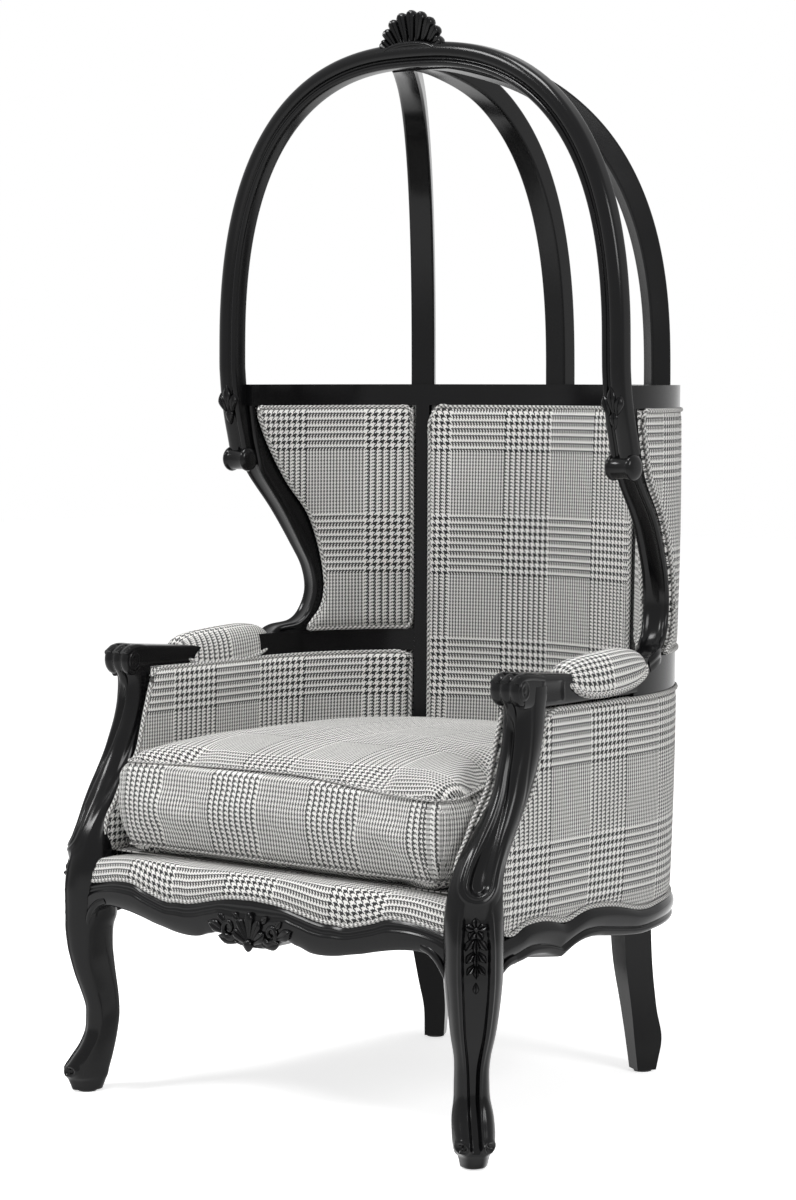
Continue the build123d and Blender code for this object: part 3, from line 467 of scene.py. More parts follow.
SKIRT, PIPE_INSET, PIPE_POINTS = 7, 3.0, 24


def wall_panel(name, spot, span, depths, grid, phase, side="", ease=1.0):
    """Crowned panel on the wall. span(s, t) gives arc length and height; spot() turns them into a point."""
    near, face, pipe_depth = depths
    middle = span(0.5, 0.5)
    wide = abs(span(1, 0.5)[0] - span(0, 0.5)[0])
    high = abs(span(0.5, 1)[1] - span(0.5, 0)[1])

    def place(s, t):
        a, z = span(s, t)
        depth = mix(near, face, fullness(s, t, wide, high))
        if not (0.001 < s < 0.999 and 0.001 < t < 0.999):
            depth -= SKIRT if face > near else -SKIRT
        return spot(a, z, depth)

    def weave(s, t):
        a, z = span(s, t)
        return ((a - phase[0]) * ease * MM, (z - phase[1]) * MM)

    bm = sheet_bm(*grid, place, weave)
    thicken(bm, row(*spot(*middle, face)) - row(*spot(*middle, near)))
    in_s, in_t = PIPE_INSET / wide, PIPE_INSET / high
    shares = [k / PIPE_POINTS for k in range(1, PIPE_POINTS)]
    ring = [(k, in_t) for k in shares] + [(1 - in_s, k) for k in shares]
    ring += [(1 - k, 1 - in_t) for k in shares] + [(in_s, 1 - k) for k in shares]
    pipe = piping_bm([spot(*span(s, t), pipe_depth) for s, t in ring])
    piece = finish(name + "_cloth", merged([bm, pipe]), CHECK, side)
    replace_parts(piece, name + "_" + side if side else name)


WING_EDGE = [(682, 420), (690, 454), (710, 475), (746, 487), (787, 482), (829, 462), (887, 427),
             (943, 382), (967, 372), (1004, 362), (1048, 353)]
WING_PANEL_EDGE = [(682, 455), (702, 475), (723, 489), (763, 494), (821, 485), (878, 464), (928, 425),
                   (993, 383), (1049, 356)]
POST_BACK = [(325, 43), (362, 35), (394, 38), (425, 46), (445, 61), (479, 82), (517, 112), (546, 122),
             (574, 130), (599, 138), (630, 148)]
SIDE_RAIL_TOP = [(30, 308), (75, 316), (98, 325), (129, 327), (161, 324), (189, 317), (209, 320), (241, 328),
                 (267, 329), (306, 326), (339, 320), (374, 312), (412, 310), (451, 312), (900, 312)]


def back_span(low, high, depth):
    def span(s, t):
        z = mix(low, high, t)
        reach = back_reach(z, depth, STILE_FACE)
        return mix(-reach, reach, s), z
    return span


def wing_span(low, high, depth, edge, inset=0):
    def span(s, t):
        z = mix(low, high, t)
        front = side_reach(curve(edge, z) + inset, z, depth)
        return mix(front, STILE_FACE, s), z
    return span


def arm_span(low_line, high, depth, front_line, inset):
    def span(s, t):
        z, a = mix(low_line(300), high, t), 0
        for _ in range(8):
            front = side_reach(curve(front_line, z) + inset, z, depth)
            a = mix(front, STILE_FACE, s)
            z = mix(low_line(side_point(a, z, depth)[1]), high, t)
        return a, z
    return span


# depth of a panel's edge, face and piping in the wall, from the wood's outer face
INSIDE, OUTSIDE = (44, 58, 47), (1.5, -4.5, -1.5)
ARM_PANEL_TOP, WING_SEAM, PIPE_BACK = 647, 18, 4

span = back_span(DECK_Z, TOP_LOW_Z, INSIDE[0])
wall_panel("inside_back_panel", back_point, span, INSIDE, (60, 96), (-78, 171), ease=1.1)
span = back_span(313, TOP_LOW_Z, OUTSIDE[0])
wall_panel("outside_back_panel", back_point, span, OUTSIDE, (60, 96), (-40, 140))
for side in SIDES:
    near = INSIDE[0]
    wall_panel("inside_wing_panel", side_point, wing_span(ARM_TOP_Z, TOP_LOW_Z, near, WING_PANEL_EDGE),
               INSIDE, (40, 52), (198, 174), side)
    wall_panel("inside_arm_panel", side_point,
               arm_span(lambda y: DECK_Z, ARM_PANEL_TOP, near, [(z, y - 40) for z, y in POST_BACK], PIPE_BACK),
               INSIDE, (60, 40), (198, 174), side)
    near = OUTSIDE[0]
    wall_panel("outside_wing_panel", side_point, wing_span(ARM_TOP_Z, TOP_LOW_Z, near, WING_EDGE, WING_SEAM),
               OUTSIDE, (40, 52), (360, 140), side, 1.1)
    wall_panel("outside_arm_panel", side_point,
               arm_span(lambda y: curve(SIDE_RAIL_TOP, y), ARM_LOW_Z, near, POST_BACK, 0),
               OUTSIDE, (60, 40), (360, 140), side, 1.1)

# Seat border and deck

FRONT_RAIL_TOP = [(0, 338), (47, 335), (88, 327), (110, 322), (133, 318), (150, 318), (174, 316), (201, 322),
                  (223, 328), (245, 336), (262, 337), (285, 336), (320, 330), (338, 327)]


def bow(x, reach=345, rise=16, ends=-24):
    """Plan line of the front rail's face."""
    return ends - rise * (1 - (x / reach) ** 2)


def seat_border():
    """Padded front of the seat, from the rail's carved top edge over the corner and back to the deck."""
    half, corner = 340, 14

    def place(s, t):
        x = mix(-half, half, s)
        low = curve(FRONT_RAIL_TOP, abs(x)) - 2
        top = DECK_Z - 1 - 9 * abs(x / half) ** 6
        front = bow(x) + 7
        rise = top - corner - low
        bend, deep = corner * pi / 2, 64
        spot = t * (rise + bend + deep)
        if spot < rise:
            swell = 5 * hump(spot / rise, 0.7)
            return (x, front - swell, low + spot)
        if spot < rise + bend:
            angle = (spot - rise) / corner
            return (x, front + corner * (1 - cos(angle)), low + rise + corner * sin(angle))
        return (x, front + corner + spot - rise - bend, top)

    def weave(s, t):
        return ((mix(-half, half, s) + 60) * MM, t * 0.14)

    bm = sheet_bm(120, 30, place, weave)
    thicken(bm, Vector((0, -1, 0.5)))
    edge = [(x, y - 2, z + 2) for x, y, z in (place(i / 40, 0.03) for i in range(41))]
    piece = finish("seat_border_cloth", merged([bm, piping_bm(edge, 3.0, closed=False)]), CHECK)
    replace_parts(piece, "seat_border")


def inner_half(y, z, depth):
    """Half the width inside the wall at y and height z."""
    if y <= WING_TURN:
        return wall_at(z)[0] - depth
    cx, wing_radius, _ = wing_circle(z)
    cy, back_radius, _ = back_circle(z)
    wing = cx + sqrt(max((wing_radius - depth) ** 2 - (y - WING_TURN) ** 2, 0))
    back = sqrt(max((back_radius - depth) ** 2 - (y - cy) ** 2, 0)) if y > cy else wing
    return min(wing, back)


def seat_deck():
    """Stretched cloth deck under the cushion."""
    last = wall_at(DECK_Z)[3] - WOOD_DEPTH

    def place(s, t):
        y = mix(30, last, 1 - (1 - t) ** 1.6)
        half = inner_half(y, DECK_Z, WOOD_DEPTH)
        dish = 3 * (1 - (2 * s - 1) ** 2) * (1 - (2 * t - 1) ** 2)
        return (mix(-half, half, s), y, DECK_Z - 0.5 - dish)

    def weave(s, t):
        x, y, _ = place(s, t)
        return x * MM, y * MM

    bm = sheet_bm(40, 40, place, weave)
    thicken(bm, Vector((0, 0, 1)))
    piece = finish("seat_deck_cloth", bm, CHECK)
    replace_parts(piece, "seat_deck")


seat_border()
seat_deck()

# Loose seat cushion

# heights of its underside, top seam and crown, and the middle that its cloth is drawn from
CUSHION_LOW, CUSHION_EDGE, CUSHION_TOP, CUSHION_MIDDLE_Y = 374.6, 515, 556, 300


def rounded(points, radius, steps=5):
    """Closed outline with its sharp corners rounded, as a list of points."""
    done = []
    count = len(points)
    for i in range(count):
        a, p, b = (Vector(points[(i + k) % count]) for k in (-1, 0, 1))
        one, two = (a - p), (b - p)
        turn = one.angle(two)
        if turn > 2.4:
            done.append(p)
            continue
        cut = min(radius / max(sin(turn / 2) / cos(turn / 2), 0.2), one.length / 2, two.length / 2)
        start, end = p + one.normalized() * cut, p + two.normalized() * cut
        for k in range(steps + 1):
            t = k / steps
            done.append(start * (1 - t) ** 2 + p * 2 * t * (1 - t) + end * t * t)
    return done


def cushion_outline(inset=0):
    """Outline of the cushion seen from above: straight in front, round behind, inside the pads."""
    z, depth = 430, 60 + inset
    last = wall_at(z)[3] - depth
    ys = [-13 + inset, 110, 160, 210, 270, 330, 366]
    ys += [mix(380, last, sin(pi / 2 * k / 14)) for k in range(1, 15)]
    side = [(inner_half(y, z, depth) + 14 * smooth((150 - y) / 150) if y < last - 0.5 else 0, y, 0) for y in ys]
    left = [(-x, y, z) for x, y, z in reversed(side[:-1])]
    return Path(rounded(side + left, 46, 8), closed=True, fine=4)


def cushion_body(inset):
    """Closed box cushion: flat below, upright sides and a crowned top."""
    path = cushion_outline(inset)
    centre = Vector((0, CUSHION_MIDDLE_Y, 0))
    low, edge, top = CUSHION_LOW + inset * 0.5, CUSHION_EDGE - inset * 0.3, CUSHION_TOP - inset

    def place(s, t):
        rim = path.at(s)
        if t < 0.3:
            share, z = 0.965 * t / 0.3, low
        elif t < 0.7:
            rise = (t - 0.3) / 0.4
            share, z = mix(0.965, 0.985, rise) + 0.03 * hump(rise, 0.6), mix(low, edge, rise)
        else:
            share = 0.985 * (1 - t) / 0.3
            z = edge + (top - edge) * (1 - (share / 0.985) ** mix(4.5, 2.8, smooth((110 - rim.y) / 110)))
        spot = centre.lerp(rim, share)
        return (spot.x, spot.y, z)

    bm = sheet_bm(160, 60, place, weld=True)
    bmesh.ops.remove_doubles(bm, verts=bm.verts, dist=0.0004)
    bmesh.ops.recalc_face_normals(bm, faces=bm.faces)
    return bm


def inflate(piece):
    """Remeshes a closed piece and lets cloth under pressure find its shape, then applies it."""
    scene = bpy.context.scene
    cap, frames = 0.012, 20
    remesh = piece.modifiers.new("remesh", "REMESH")
    remesh.mode = "VOXEL"
    remesh.voxel_size = 0.006
    bpy.context.view_layer.objects.active = piece
    bake(piece)
    start = [v.co.copy() for v in piece.data.vertices]
    cloth = piece.modifiers.new("cloth", "CLOTH").settings
    cloth.use_pressure = True
    cloth.uniform_pressure_force = 4.0
    cloth.tension_stiffness = cloth.compression_stiffness = 25
    cloth.bending_stiffness = 2.0
    cloth.effector_weights.gravity = 0
    for frame_number in range(1, frames + 1):
        scene.frame_set(frame_number)
    bake(piece)
    scene.frame_set(1)
    for v, old in zip(piece.data.vertices, start):
        move = v.co - old
        if move.length > cap:
            v.co = old + move.normalized() * cap


def bake(piece):
    """Replaces the mesh by what its modifiers make of it."""
    graph = bpy.context.evaluated_depsgraph_get()
    made = bpy.data.meshes.new_from_object(piece.evaluated_get(graph))
    old = piece.data
    piece.modifiers.clear()
    piece.data = made
    bpy.data.meshes.remove(old)


def seam_lift(spot):
    """How far the top seam of the cushion wanders up in the middle of the front and sags towards the right."""
    front = smooth((150 - spot.y / MM - CENTRE_Y) / 120)
    return front * (0.004 * smooth(1 - abs(spot.x) / 0.33) - 0.010 * smooth(spot.x / 0.3))


# the filling starts this much smaller than the finished cushion; each seam pulls the cloth in
SMALLER, SEAM_PULL, SEAM_REACH = 9, 0.0035, 0.014
# threads per metre against the cloth's own, on the top and up the boxing, where the filling stretches it
TOP_WEAVE, BOXING_WEAVE = 1.05, 0.77
SEAM_POINTS, MARKS = 150, 200


def seat_cushion():
    """Boxed cushion filled under its cloth, drawn in along two piped seams."""
    body = placed("cushion_start", cushion_body(SMALLER))
    inflate(body)
    bm = bmesh.new()
    bm.from_mesh(body.data)
    bpy.data.objects.remove(body)
    for _ in range(3):
        bmesh.ops.smooth_vert(bm, verts=bm.verts, factor=0.5, use_axis_x=True, use_axis_y=True, use_axis_z=True)
    for v in bm.verts:
        v.co.z = max(v.co.z, CUSHION_LOW * MM)
    bmesh.ops.recalc_face_normals(bm, faces=bm.faces)
    hull = BVHTree.FromBMesh(bm)
    path = cushion_outline()
    edge_z, under_z = CUSHION_EDGE * MM, (CUSHION_LOW + 14) * MM
    middle = row(0, CUSHION_MIDDLE_Y, 0)
    seams = []
    for z in (edge_z, under_z):
        ring = []
        for i in range(SEAM_POINTS):
            out = row(*path.at(i / SEAM_POINTS))
            start = middle.lerp(out, 1.2)
            aim = (middle - start).normalized()
            start.z = z + (seam_lift(out) if z == edge_z else 0)
            hit = hull.ray_cast(start, aim)[0]
            if hit:
                ring.append(hit)
        seams.append(ring)
    # the cloth pulls in to each seam
    for ring in seams:
        for v in bm.verts:
            if abs(v.co.z - ring[0].z) <= 0.02:
                away = min((v.co - p).length for p in ring)
                v.co -= v.normal * SEAM_PULL * max(0, 1 - away / SEAM_REACH)
    layer = bm.loops.layers.uv.get("weave") or bm.loops.layers.uv.new("weave")
    marks = [path.at(i / MARKS).xy for i in range(MARKS)]
    whole, step = path.length * MM, path.length / MARKS
    # place of each point along the outline, for the cloth of the boxing
    spots = {}
    for v in bm.verts:
        here = Vector((v.co.x / MM, v.co.y / MM + CENTRE_Y))
        i = min(range(MARKS), key=lambda k: (marks[k] - here).length_squared)
        near = []
        for k in (i - 1, i):
            a, b = marks[k % MARKS], marks[(k + 1) % MARKS]
            share = min(max((here - a).dot(b - a) / (b - a).length_squared, 0), 1)
            near.append(((a.lerp(b, share) - here).length, (k + share) * step * MM))
        spots[v] = min(near)[1] % whole
    for face in bm.faces:
        z = face.calc_center_median().z
        for loop in face.loops:
            co = loop.vert.co
            if z > edge_z + seam_lift(co) or z < under_z:
                drop = max(CUSHION_TOP * MM - co.z, 0) if z > 0.45 else 0
                drop *= smooth((0.09 - co.y - CENTRE_Y * MM) / 0.09)
                loop[layer].uv = ((co.x + 0.084) * TOP_WEAVE, (co.y - drop) * TOP_WEAVE)
            else:
                around, first = spots[loop.vert], spots[face.loops[0].vert]
                if abs(around - first) > whole / 2:
                    around += whole if first > whole / 2 else -whole
                loop[layer].uv = ((around - whole + 0.413) * TOP_WEAVE, 0.101 + (co.z - 0.385) * BOXING_WEAVE)
    pipes = [piping_bm([(p.x / MM, p.y / MM + CENTRE_Y, p.z / MM) for p in ring], 1.9) for ring in seams]
    piece = finish("seat_cushion_cloth", merged([bm] + pipes), CHECK, body="cushion")
    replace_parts(piece, "seat_cushion")


seat_cushion()

# Arm pads


def arm_pad(side):
    """Stuffed pad over the arm, flatter below, tapering to both ends, with one piped seam round it."""
    first, last, wide = 194, 399, 31

    def centre(y):
        height = curve([(92, 683), (230, 675), (366, 682), (420, 684)], y)
        return mix(374, 369, (y - first) / (last - first)), height

    def place(s, t):
        y = mix(first, last, 0.5 - 0.5 * cos(pi * s))
        x, z = centre(y)
        u = abs(2 * (y - first) / (last - first) - 1)
        full = max(1 - u**3, 0) ** (1 / 2.5)
        top, low = 30 * full, -31 * max(1 - u**2.6, 0) ** 0.5
        c, n = cos(2 * pi * t), sin(2 * pi * t)
        rise = mix(low, top, n**0.8) if n > 0 else low + 2 * n * full
        return (x + wide * (0.42 + 0.58 * full) * signed(c, 0.7), y, z - 10 + rise)

    def weave(s, t):
        return (mix(first, last, 0.5 - 0.5 * cos(pi * s)) * MM, t * 0.31)

    bm = sheet_bm(48, 72, place, weave, weld=True)
    bmesh.ops.recalc_face_normals(bm, faces=bm.faces)
    rim = [place(0.02 + 0.96 * i / 24, 0.008) for i in range(25)]
    rim += [place(0.98 - 0.96 * i / 24, 0.492) for i in range(25)]
    piece = finish("arm_pad_cloth", merged([bm, piping_bm(rim, 3.2)]), CHECK, side)
    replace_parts(piece, "arm_pad_" + side)


for side in SIDES:
    arm_pad(side)

# Carved uprights: the front legs run on upwards as the arm posts.
# Each row gives height, middle x and y, turn from facing forward, reach forward and back,
# half width, place of the side ridges and squareness of the back.
UPRIGHT = [
    (3, 375, 0, 45, 23, 23, 19, 4, 1.7), (19, 375, 0, 45, 29.5, 29, 23, 8, 1.6),
    (23, 375, 0, 45, 32, 31, 27, 8, 1.4), (36, 375, 0, 45, 31, 34, 29.8, 6, 1.3),
    (51, 375, 0, 45, 21.7, 38.2, 30.5, 1, 1.3), (72, 375, 0, 45, 7.7, 43.1, 29.5, -9, 1.3),
    (93, 375, 0, 45, -0.8, 47, 26, -17, 1.3), (115, 375, 0, 45, -2.4, 49.8, 25.2, -20, 1.3),
    (134, 375, 0, 45, -1.8, 49.8, 25, -18, 1.3), (155, 375, 0, 45, 4.6, 48.1, 26.5, -11.5, 1.3),
    (183, 375, 0, 45, 15.2, 44.5, 31.5, -4, 1.3), (209, 375, 0, 45, 22.8, 41.7, 35, 0.5, 1.3),
    (226, 375, 0, 45, 27, 40.5, 37.2, 1.4, 1.35), (256, 375, 0, 45, 31, 41.9, 40.5, 1, 1.45),
    (274, 375, 0, 45, 31, 47, 41.5, 1, 1.7), (310, 375, 0, 45, 31, 47, 42, 3, 2.1),
    (345, 375, 0, 45, 31, 45, 41.5, 5, 2.5), (372, 374, 3, 45, 30, 39, 39, 6, 2.9),
    (394, 374, 7, 44.5, 28, 35, 37, 4, 3), (415, 374, 15, 43, 26, 32, 35, 1, 3),
    (440, 374, 30, 40, 27.5, 30, 33, -1, 3), (465, 374, 49, 34, 30, 30, 30.5, -2, 3.2),
    (490, 374.5, 68, 27, 31, 30, 27.5, 0, 3.4), (517, 375, 85, 19, 31, 30, 25.5, 3, 3.6),
    (545, 375, 97, 11, 30, 29, 25, 5, 3.8), (572, 375, 106, 6, 28, 27, 25, 6, 4),
    (600, 375, 112, 2, 28, 27, 25, 6, 4), (630, 375, 115, 0, 34, 28, 25, 6, 4),
    (648, 375, 117, 0, 46, 30, 25, 6, 4), (662, 375, 118, 0, 48, 30, 24.5, 6, 4),
]
UPRIGHT_LINES = [[(r[0], r[k]) for r in UPRIGHT] for k in range(1, 9)]
# half width of the sunk field between the two mouldings
FIELD_WIDTH = [(30, 0.20), (60, 0.20), (90, 0.22), (130, 0.27), (170, 0.38), (210, 0.44), (300, 0.46),
               (350, 0.42)]
HOLLOW_Z = 398
HOLLOW_WIDTH = [(384, 12.5), (405, 13), (430, 11.5), (460, 8.5), (490, 6), (530, 4.4), (580, 3.6), (625, 3.4)]


def bead(distance, place, width, height):
    return height * exp(-((distance - place) / width) ** 2)


def mouldings(u, z, half):
    """Two bold mouldings beside a sunk field."""
    field = curve(FIELD_WIDTH, z) * half
    off = abs(u) * half - field
    return 3.4 * hump(off / (half - field), 0.8) - 5.5 * smooth(0.5 - off / 5) + bead(off, 3.6, 1.9, 2.2)


def leg_relief(u, z, half):
    """How far the carving of the leg's front stands out: two mouldings with a small volute over the foot."""
    scroll = hypot(abs(u) * half - 0.62 * half, (z - 33) * 0.95)
    eye = bead(scroll, 7.0, 2.2, 3.4) - bead(scroll, 3.6, 1.5, 2.6) + bead(scroll, 0, 1.6, 2.2)
    return mouldings(u, z, half) * smooth((z - 24) / 12) * smooth((scroll - 5) / 6) + eye * smooth((z - 20) / 4)


def post_relief(u, z, half):
    """Reeds under the scroll that part into two mouldings round a long drop-shaped hollow."""
    along = abs(u) * half
    wide = curve(HOLLOW_WIDTH, max(z, HOLLOW_Z))
    off = hypot(along, z - HOLLOW_Z) - 13 if z < HOLLOW_Z else along - wide
    low = smooth((480 - z) / 70)
    band = hump(off / max(half - wide, 1), 0.8)
    two = -mix(5.5, 8.5, low) * smooth(0.5 - off / 6) + mix(4.0, 1.0, low) * band
    two += low * (bead(off, 4.2, 2.6, 2.2) + bead(off, 11.5, 3.0, 1.8))
    share = (u + 1) * 1.5 % 1
    three = 4.6 * sqrt(max(1 - (2 * share - 1) ** 2, 0)) - 2.0
    over = mix(two, three, smooth((z - 598) / 34)) * smooth((1 - abs(u)) * 6)
    return mix(mouldings(u, z, half), over, smooth((z - 347) / 30))


def upright_section(z, s):
    """Point of the plain section and the direction the carving grows in, in the plan."""
    cx, cy, turn, out, back, half, ridge, square = (curve(line, z) for line in UPRIGHT_LINES)

    def local(s):
        if s < 0.5:
            u = 4 * s - 1
            flat = 0.36 * smooth((360 - z) / 50)
            fall = max(abs(u) - flat, 0) / (1 - flat)
            return ridge + (out - ridge) * (1 - fall**2.1), half * u
        angle = 2 * pi * (s - 0.5)
        c, n = cos(angle), sin(angle)
        b = half * signed(c, 2 / square)
        return ridge - (ridge + back) * max(n, 0) ** (2 / square), b

    a, b = local(s)
    a1, b1 = local(min(s + 0.004, 0.4999) if s < 0.5 else s)
    a0, b0 = local(max(s - 0.004, 0) if s < 0.5 else s)
    na, nb = (b1 - b0), -(a1 - a0)
    size = hypot(na, nb) or 1
    face = radians(turn)
    f, g = (sin(face), -cos(face)), (cos(face), sin(face))
    spot = (cx + a * f[0] + b * g[0], cy + a * f[1] + b * g[1])
    grow = ((na * f[0] + nb * g[0]) / size, (na * f[1] + nb * g[1]) / size)
    return spot, grow, half


def upright_piece(name, low, high, rows, relief, side):
    """Length of the carved upright between two heights, with its relief on the front half of the section."""
    front, rear = 124, 24
    columns = front + rear

    def place(s, t):
        z = mix(low, high, t)
        spot = s * columns
        s = spot / front / 2 if spot <= front else 0.5 + (spot - front) / rear / 2
        (x, y), grow, half = upright_section(z, s)
        rise = relief(4 * s - 1, z, half) if s < 0.5 else 0
        return (x + grow[0] * rise, y + grow[1] * rise, z)

    bm = sheet_bm(columns, rows, place, weld=True)
    close_ends(bm)
    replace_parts(finish("carved_" + name, bm, LACQUER, side, sharp=1.4), name + "_" + side)


def turned(profile, centre, steps):
    """Closed turning: (along, radius) pairs spun about a crosswise line through centre, in mm."""
    bm = bmesh.new()
    x, y, z = centre
    verts = [bm.verts.new(row(x + a, y, z + r)) for a, r in profile]
    edges = [bm.edges.new(pair) for pair in zip(verts, verts[1:])]
    bmesh.ops.spin(
        bm, geom=verts + edges, cent=row(x, y, z), axis=(1, 0, 0), angle=2 * pi, steps=steps, use_merge=True)
    bmesh.ops.remove_doubles(bm, verts=bm.verts, dist=0.00002)
    bmesh.ops.recalc_face_normals(bm, faces=bm.faces)
    return bm


def scroll_head(side):
    """Three lobes side by side, curled over the top of the arm post, with an eye at each end."""
    lobe, radius = 50 / 3, 19.5
    profile = [(-25.5, 0), (-25.5, 2), (-24.2, 4), (-24.6, 6), (-26, 8.5), (-25.6, 11), (-24, 12.5),
               (-24.6, 14)]
    for i in range(3):
        for k in range(7):
            share = (k + 0.5) / 7
            profile.append((-25 + lobe * (i + share), radius - 5 + 5 * sqrt(1 - (2 * share - 1) ** 2)))
    profile += [(-a, r) for a, r in reversed(profile[:8])]
    middle = (375, 84, 664)
    head = turned(profile, middle, 40)
    bmesh.ops.scale(head, verts=head.verts, vec=(1, 0.95, 1.2), space=Matrix.Translation(-row(*middle)))
    bmesh.ops.translate(head, verts=head.verts, vec=(0, 0, -5 * MM))
    parts = [head]
    for i in range(3):
        x = 350 + lobe * (i + 0.5)
        line = [(x, 70, 667), (x, 84, 675), (x, 104, 676), (x, 132, 672)]
        parts.append(roll_bm(line, (8.7, 8.4), (8.7, 5.4), 14, 14))
    finish("scroll_head", merged(parts), LACQUER, side)


def arm_piece(side):
    """Arm with rounded edges and a sunk panel along its outer side."""
    first, last = 84, 372

    def place(s, t):
        y = mix(first, last, t)
        share = (y - first) / (last - first)
        inner, outer = mix(350, 343, share), mix(400, 390, share)
        top = curve([(84, 683), (120, 681), (230, 674), (320, 677), (372, 681)], y)
        angle = 2 * pi * s
        c, n = cos(angle), sin(angle)
        x = (inner + outer) / 2 + (outer - inner) / 2 * signed(c, 0.36)
        low = mix(645, 629, (x - inner) / (outer - inner))
        z = (top + low) / 2 + (top - low) / 2 * signed(n, 0.36)
        if x > outer - 0.6:
            off = max(abs(z - (top + low) / 2) - 11, abs(y - 155) - 22)
            x += -2.4 * smooth(0.5 - off / 3) + bead(off, 2.6, 1.2, 0.9)
        return (x, y, z)

    bm = sheet_bm(56, 100, place, weld=True)
    close_ends(bm)
    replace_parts(finish("carved_arm", bm, LACQUER, side), "arm_" + side)


for side in SIDES:
    upright_piece("front_leg", 3, 345, 150, leg_relief, side)
    upright_piece("arm_post", 345, 662, 240, post_relief, side)
    scroll_head(side)
    arm_piece(side)

# Moulded rails, arch and wing posts


def closed_profile(points):
    """Section for tube_bm from a closed list of points (sideways, upwards)."""
    line = Path([(a, b, 0) for a, b in points], closed=True, fine=4)

    def section(s, t):
        spot = line.at(t)
        return spot.x, spot.y
    return section


def rail_bm(place_front, thick, tops, bottoms, profile, columns, turns=68):
    """Moulded rail. place_front(s, proud, z) gives a point; profile(v) the moulding from bottom to top."""

    def place(s, t):
        top, low = tops(s), bottoms(s)
        if t < 0.7:
            v = 1 - t / 0.7
            return place_front(s, profile(v), mix(low, top, v))
        if t < 0.78:
            return place_front(s, mix(profile(0), -thick, (t - 0.7) / 0.08), low)
        if t < 0.92:
            return place_front(s, -thick, mix(low, top, (t - 0.78) / 0.14))
        return place_front(s, mix(-thick, profile(1), (t - 0.92) / 0.08), top)

    bm = sheet_bm(columns, turns, place, weld=True)
    close_ends(bm)
    return bm


RAIL_LOBE = [(0, 269), (20, 270), (40, 275), (53, 282), (62, 286), (69, 288)]
RAIL_LOW = [(69, 287), (80, 282.5), (91, 280), (110, 274), (133, 273), (156, 275), (178, 279), (201, 283),
            (223, 288), (256, 294), (290, 297), (309, 296), (327, 290), (340, 279), (350, 262)]
SIDE_LOW_FRONT = [(24, 250), (32, 262), (48, 271), (66, 275), (89, 278), (114, 282), (146, 280), (167, 275),
                  (182, 270)]
SIDE_LOW_BACK = [(182, 270), (196, 276), (215, 283), (241, 288), (274, 288), (307, 283), (340, 279), (381, 276),
                 (422, 277), (900, 277)]


def front_moulding(v):
    """Broad roll below, a cove above it and a thin lip under the cloth."""
    cove = 2.4 * smooth((v - 0.6) / 0.12) * smooth((0.9 - v) / 0.08)
    return 1 + 6.4 * min(hump(min(v / 0.84, 0.5), 0.6), 1) * smooth((1.06 - v) / 0.3) - cove


def side_moulding(v):
    """Roll above, quirk, and a bead along the lower edge."""
    if v < 0.27:
        return 4.5 + 3.6 * hump(v / 0.27, 0.6)
    return 4.0 + 6.0 * hump((v - 0.27) / 0.73, 0.7)


def bracket(points, up):
    """Roll that turns from a rail's lower edge down into the leg and dies away there."""
    return roll_bm(points, (6.5, 5.5), (3, 1.5), 24, 14, up)


def moulded_rails():
    """The four seat rails: serpentine in front, scalloped at the sides and plain behind."""
    run = 350

    def front_place(s, proud, z):
        x = mix(-run, run, s)
        return (x, bow(x) - proud + 3, z)

    def low(s):
        x = abs(mix(-run, run, s))
        return curve(RAIL_LOBE, x) if x < 69 else curve(RAIL_LOW, x)

    def high(s):
        return curve(FRONT_RAIL_TOP, abs(mix(-run, run, s))) + 1

    bm = rail_bm(front_place, 36, high, low, front_moulding, 280)
    turn = [(306, -27, 306), (321, -28, 300), (335, -29, 289), (344, -28, 274), (350, -24, 258),
            (356, -18, 242)]
    bends = [bracket(turn, (0, -1, 0)), flip(bracket(turn, (0, -1, 0)))]
    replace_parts(finish("carved_front_rail", merged([bm] + bends), LACQUER), "front_seat_rail")

    for side in SIDES:
        length = side_reach(24, 300, 0)

        def side_place(s, proud, z):
            return side_point(mix(length, -2, s), z, -proud + 1)

        def height_y(s):
            return side_point(mix(length, 0, s), 300, 0)[1]

        def side_low(s):
            y = height_y(s)
            return curve(SIDE_LOW_FRONT, y) if y < 182 else curve(SIDE_LOW_BACK, y)

        bm = rail_bm(side_place, 40, lambda s: curve(SIDE_RAIL_TOP, height_y(s)), side_low, side_moulding, 230)
        turn = [(391, 72, 283), (393, 56, 281), (394, 42, 274), (393, 31, 262), (390, 24, 250), (386, 18, 238)]
        piece = finish("carved_side_rail", merged([bm, bracket(turn, (1, 0, 0))]), LACQUER, side)
        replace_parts(piece, "side_seat_rail_" + side)

    half = back_reach(293, 0, 0)

    def back_place(s, proud, z):
        return back_point(mix(half, -half, s), z, -proud + 1)

    bm = rail_bm(back_place, 40, lambda s: 312, lambda s: 277, side_moulding, 90)
    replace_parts(finish("moulded_back_rail", bm, LACQUER), "back_seat_rail")


# the arch's centre line: half span, springing and crown heights, and the exponent of its curve
ARCH_HALF, SPRING_Z, CROWN_Z, SUPERELLIPSE = 374.5, 1119, 1578.5, 2.51


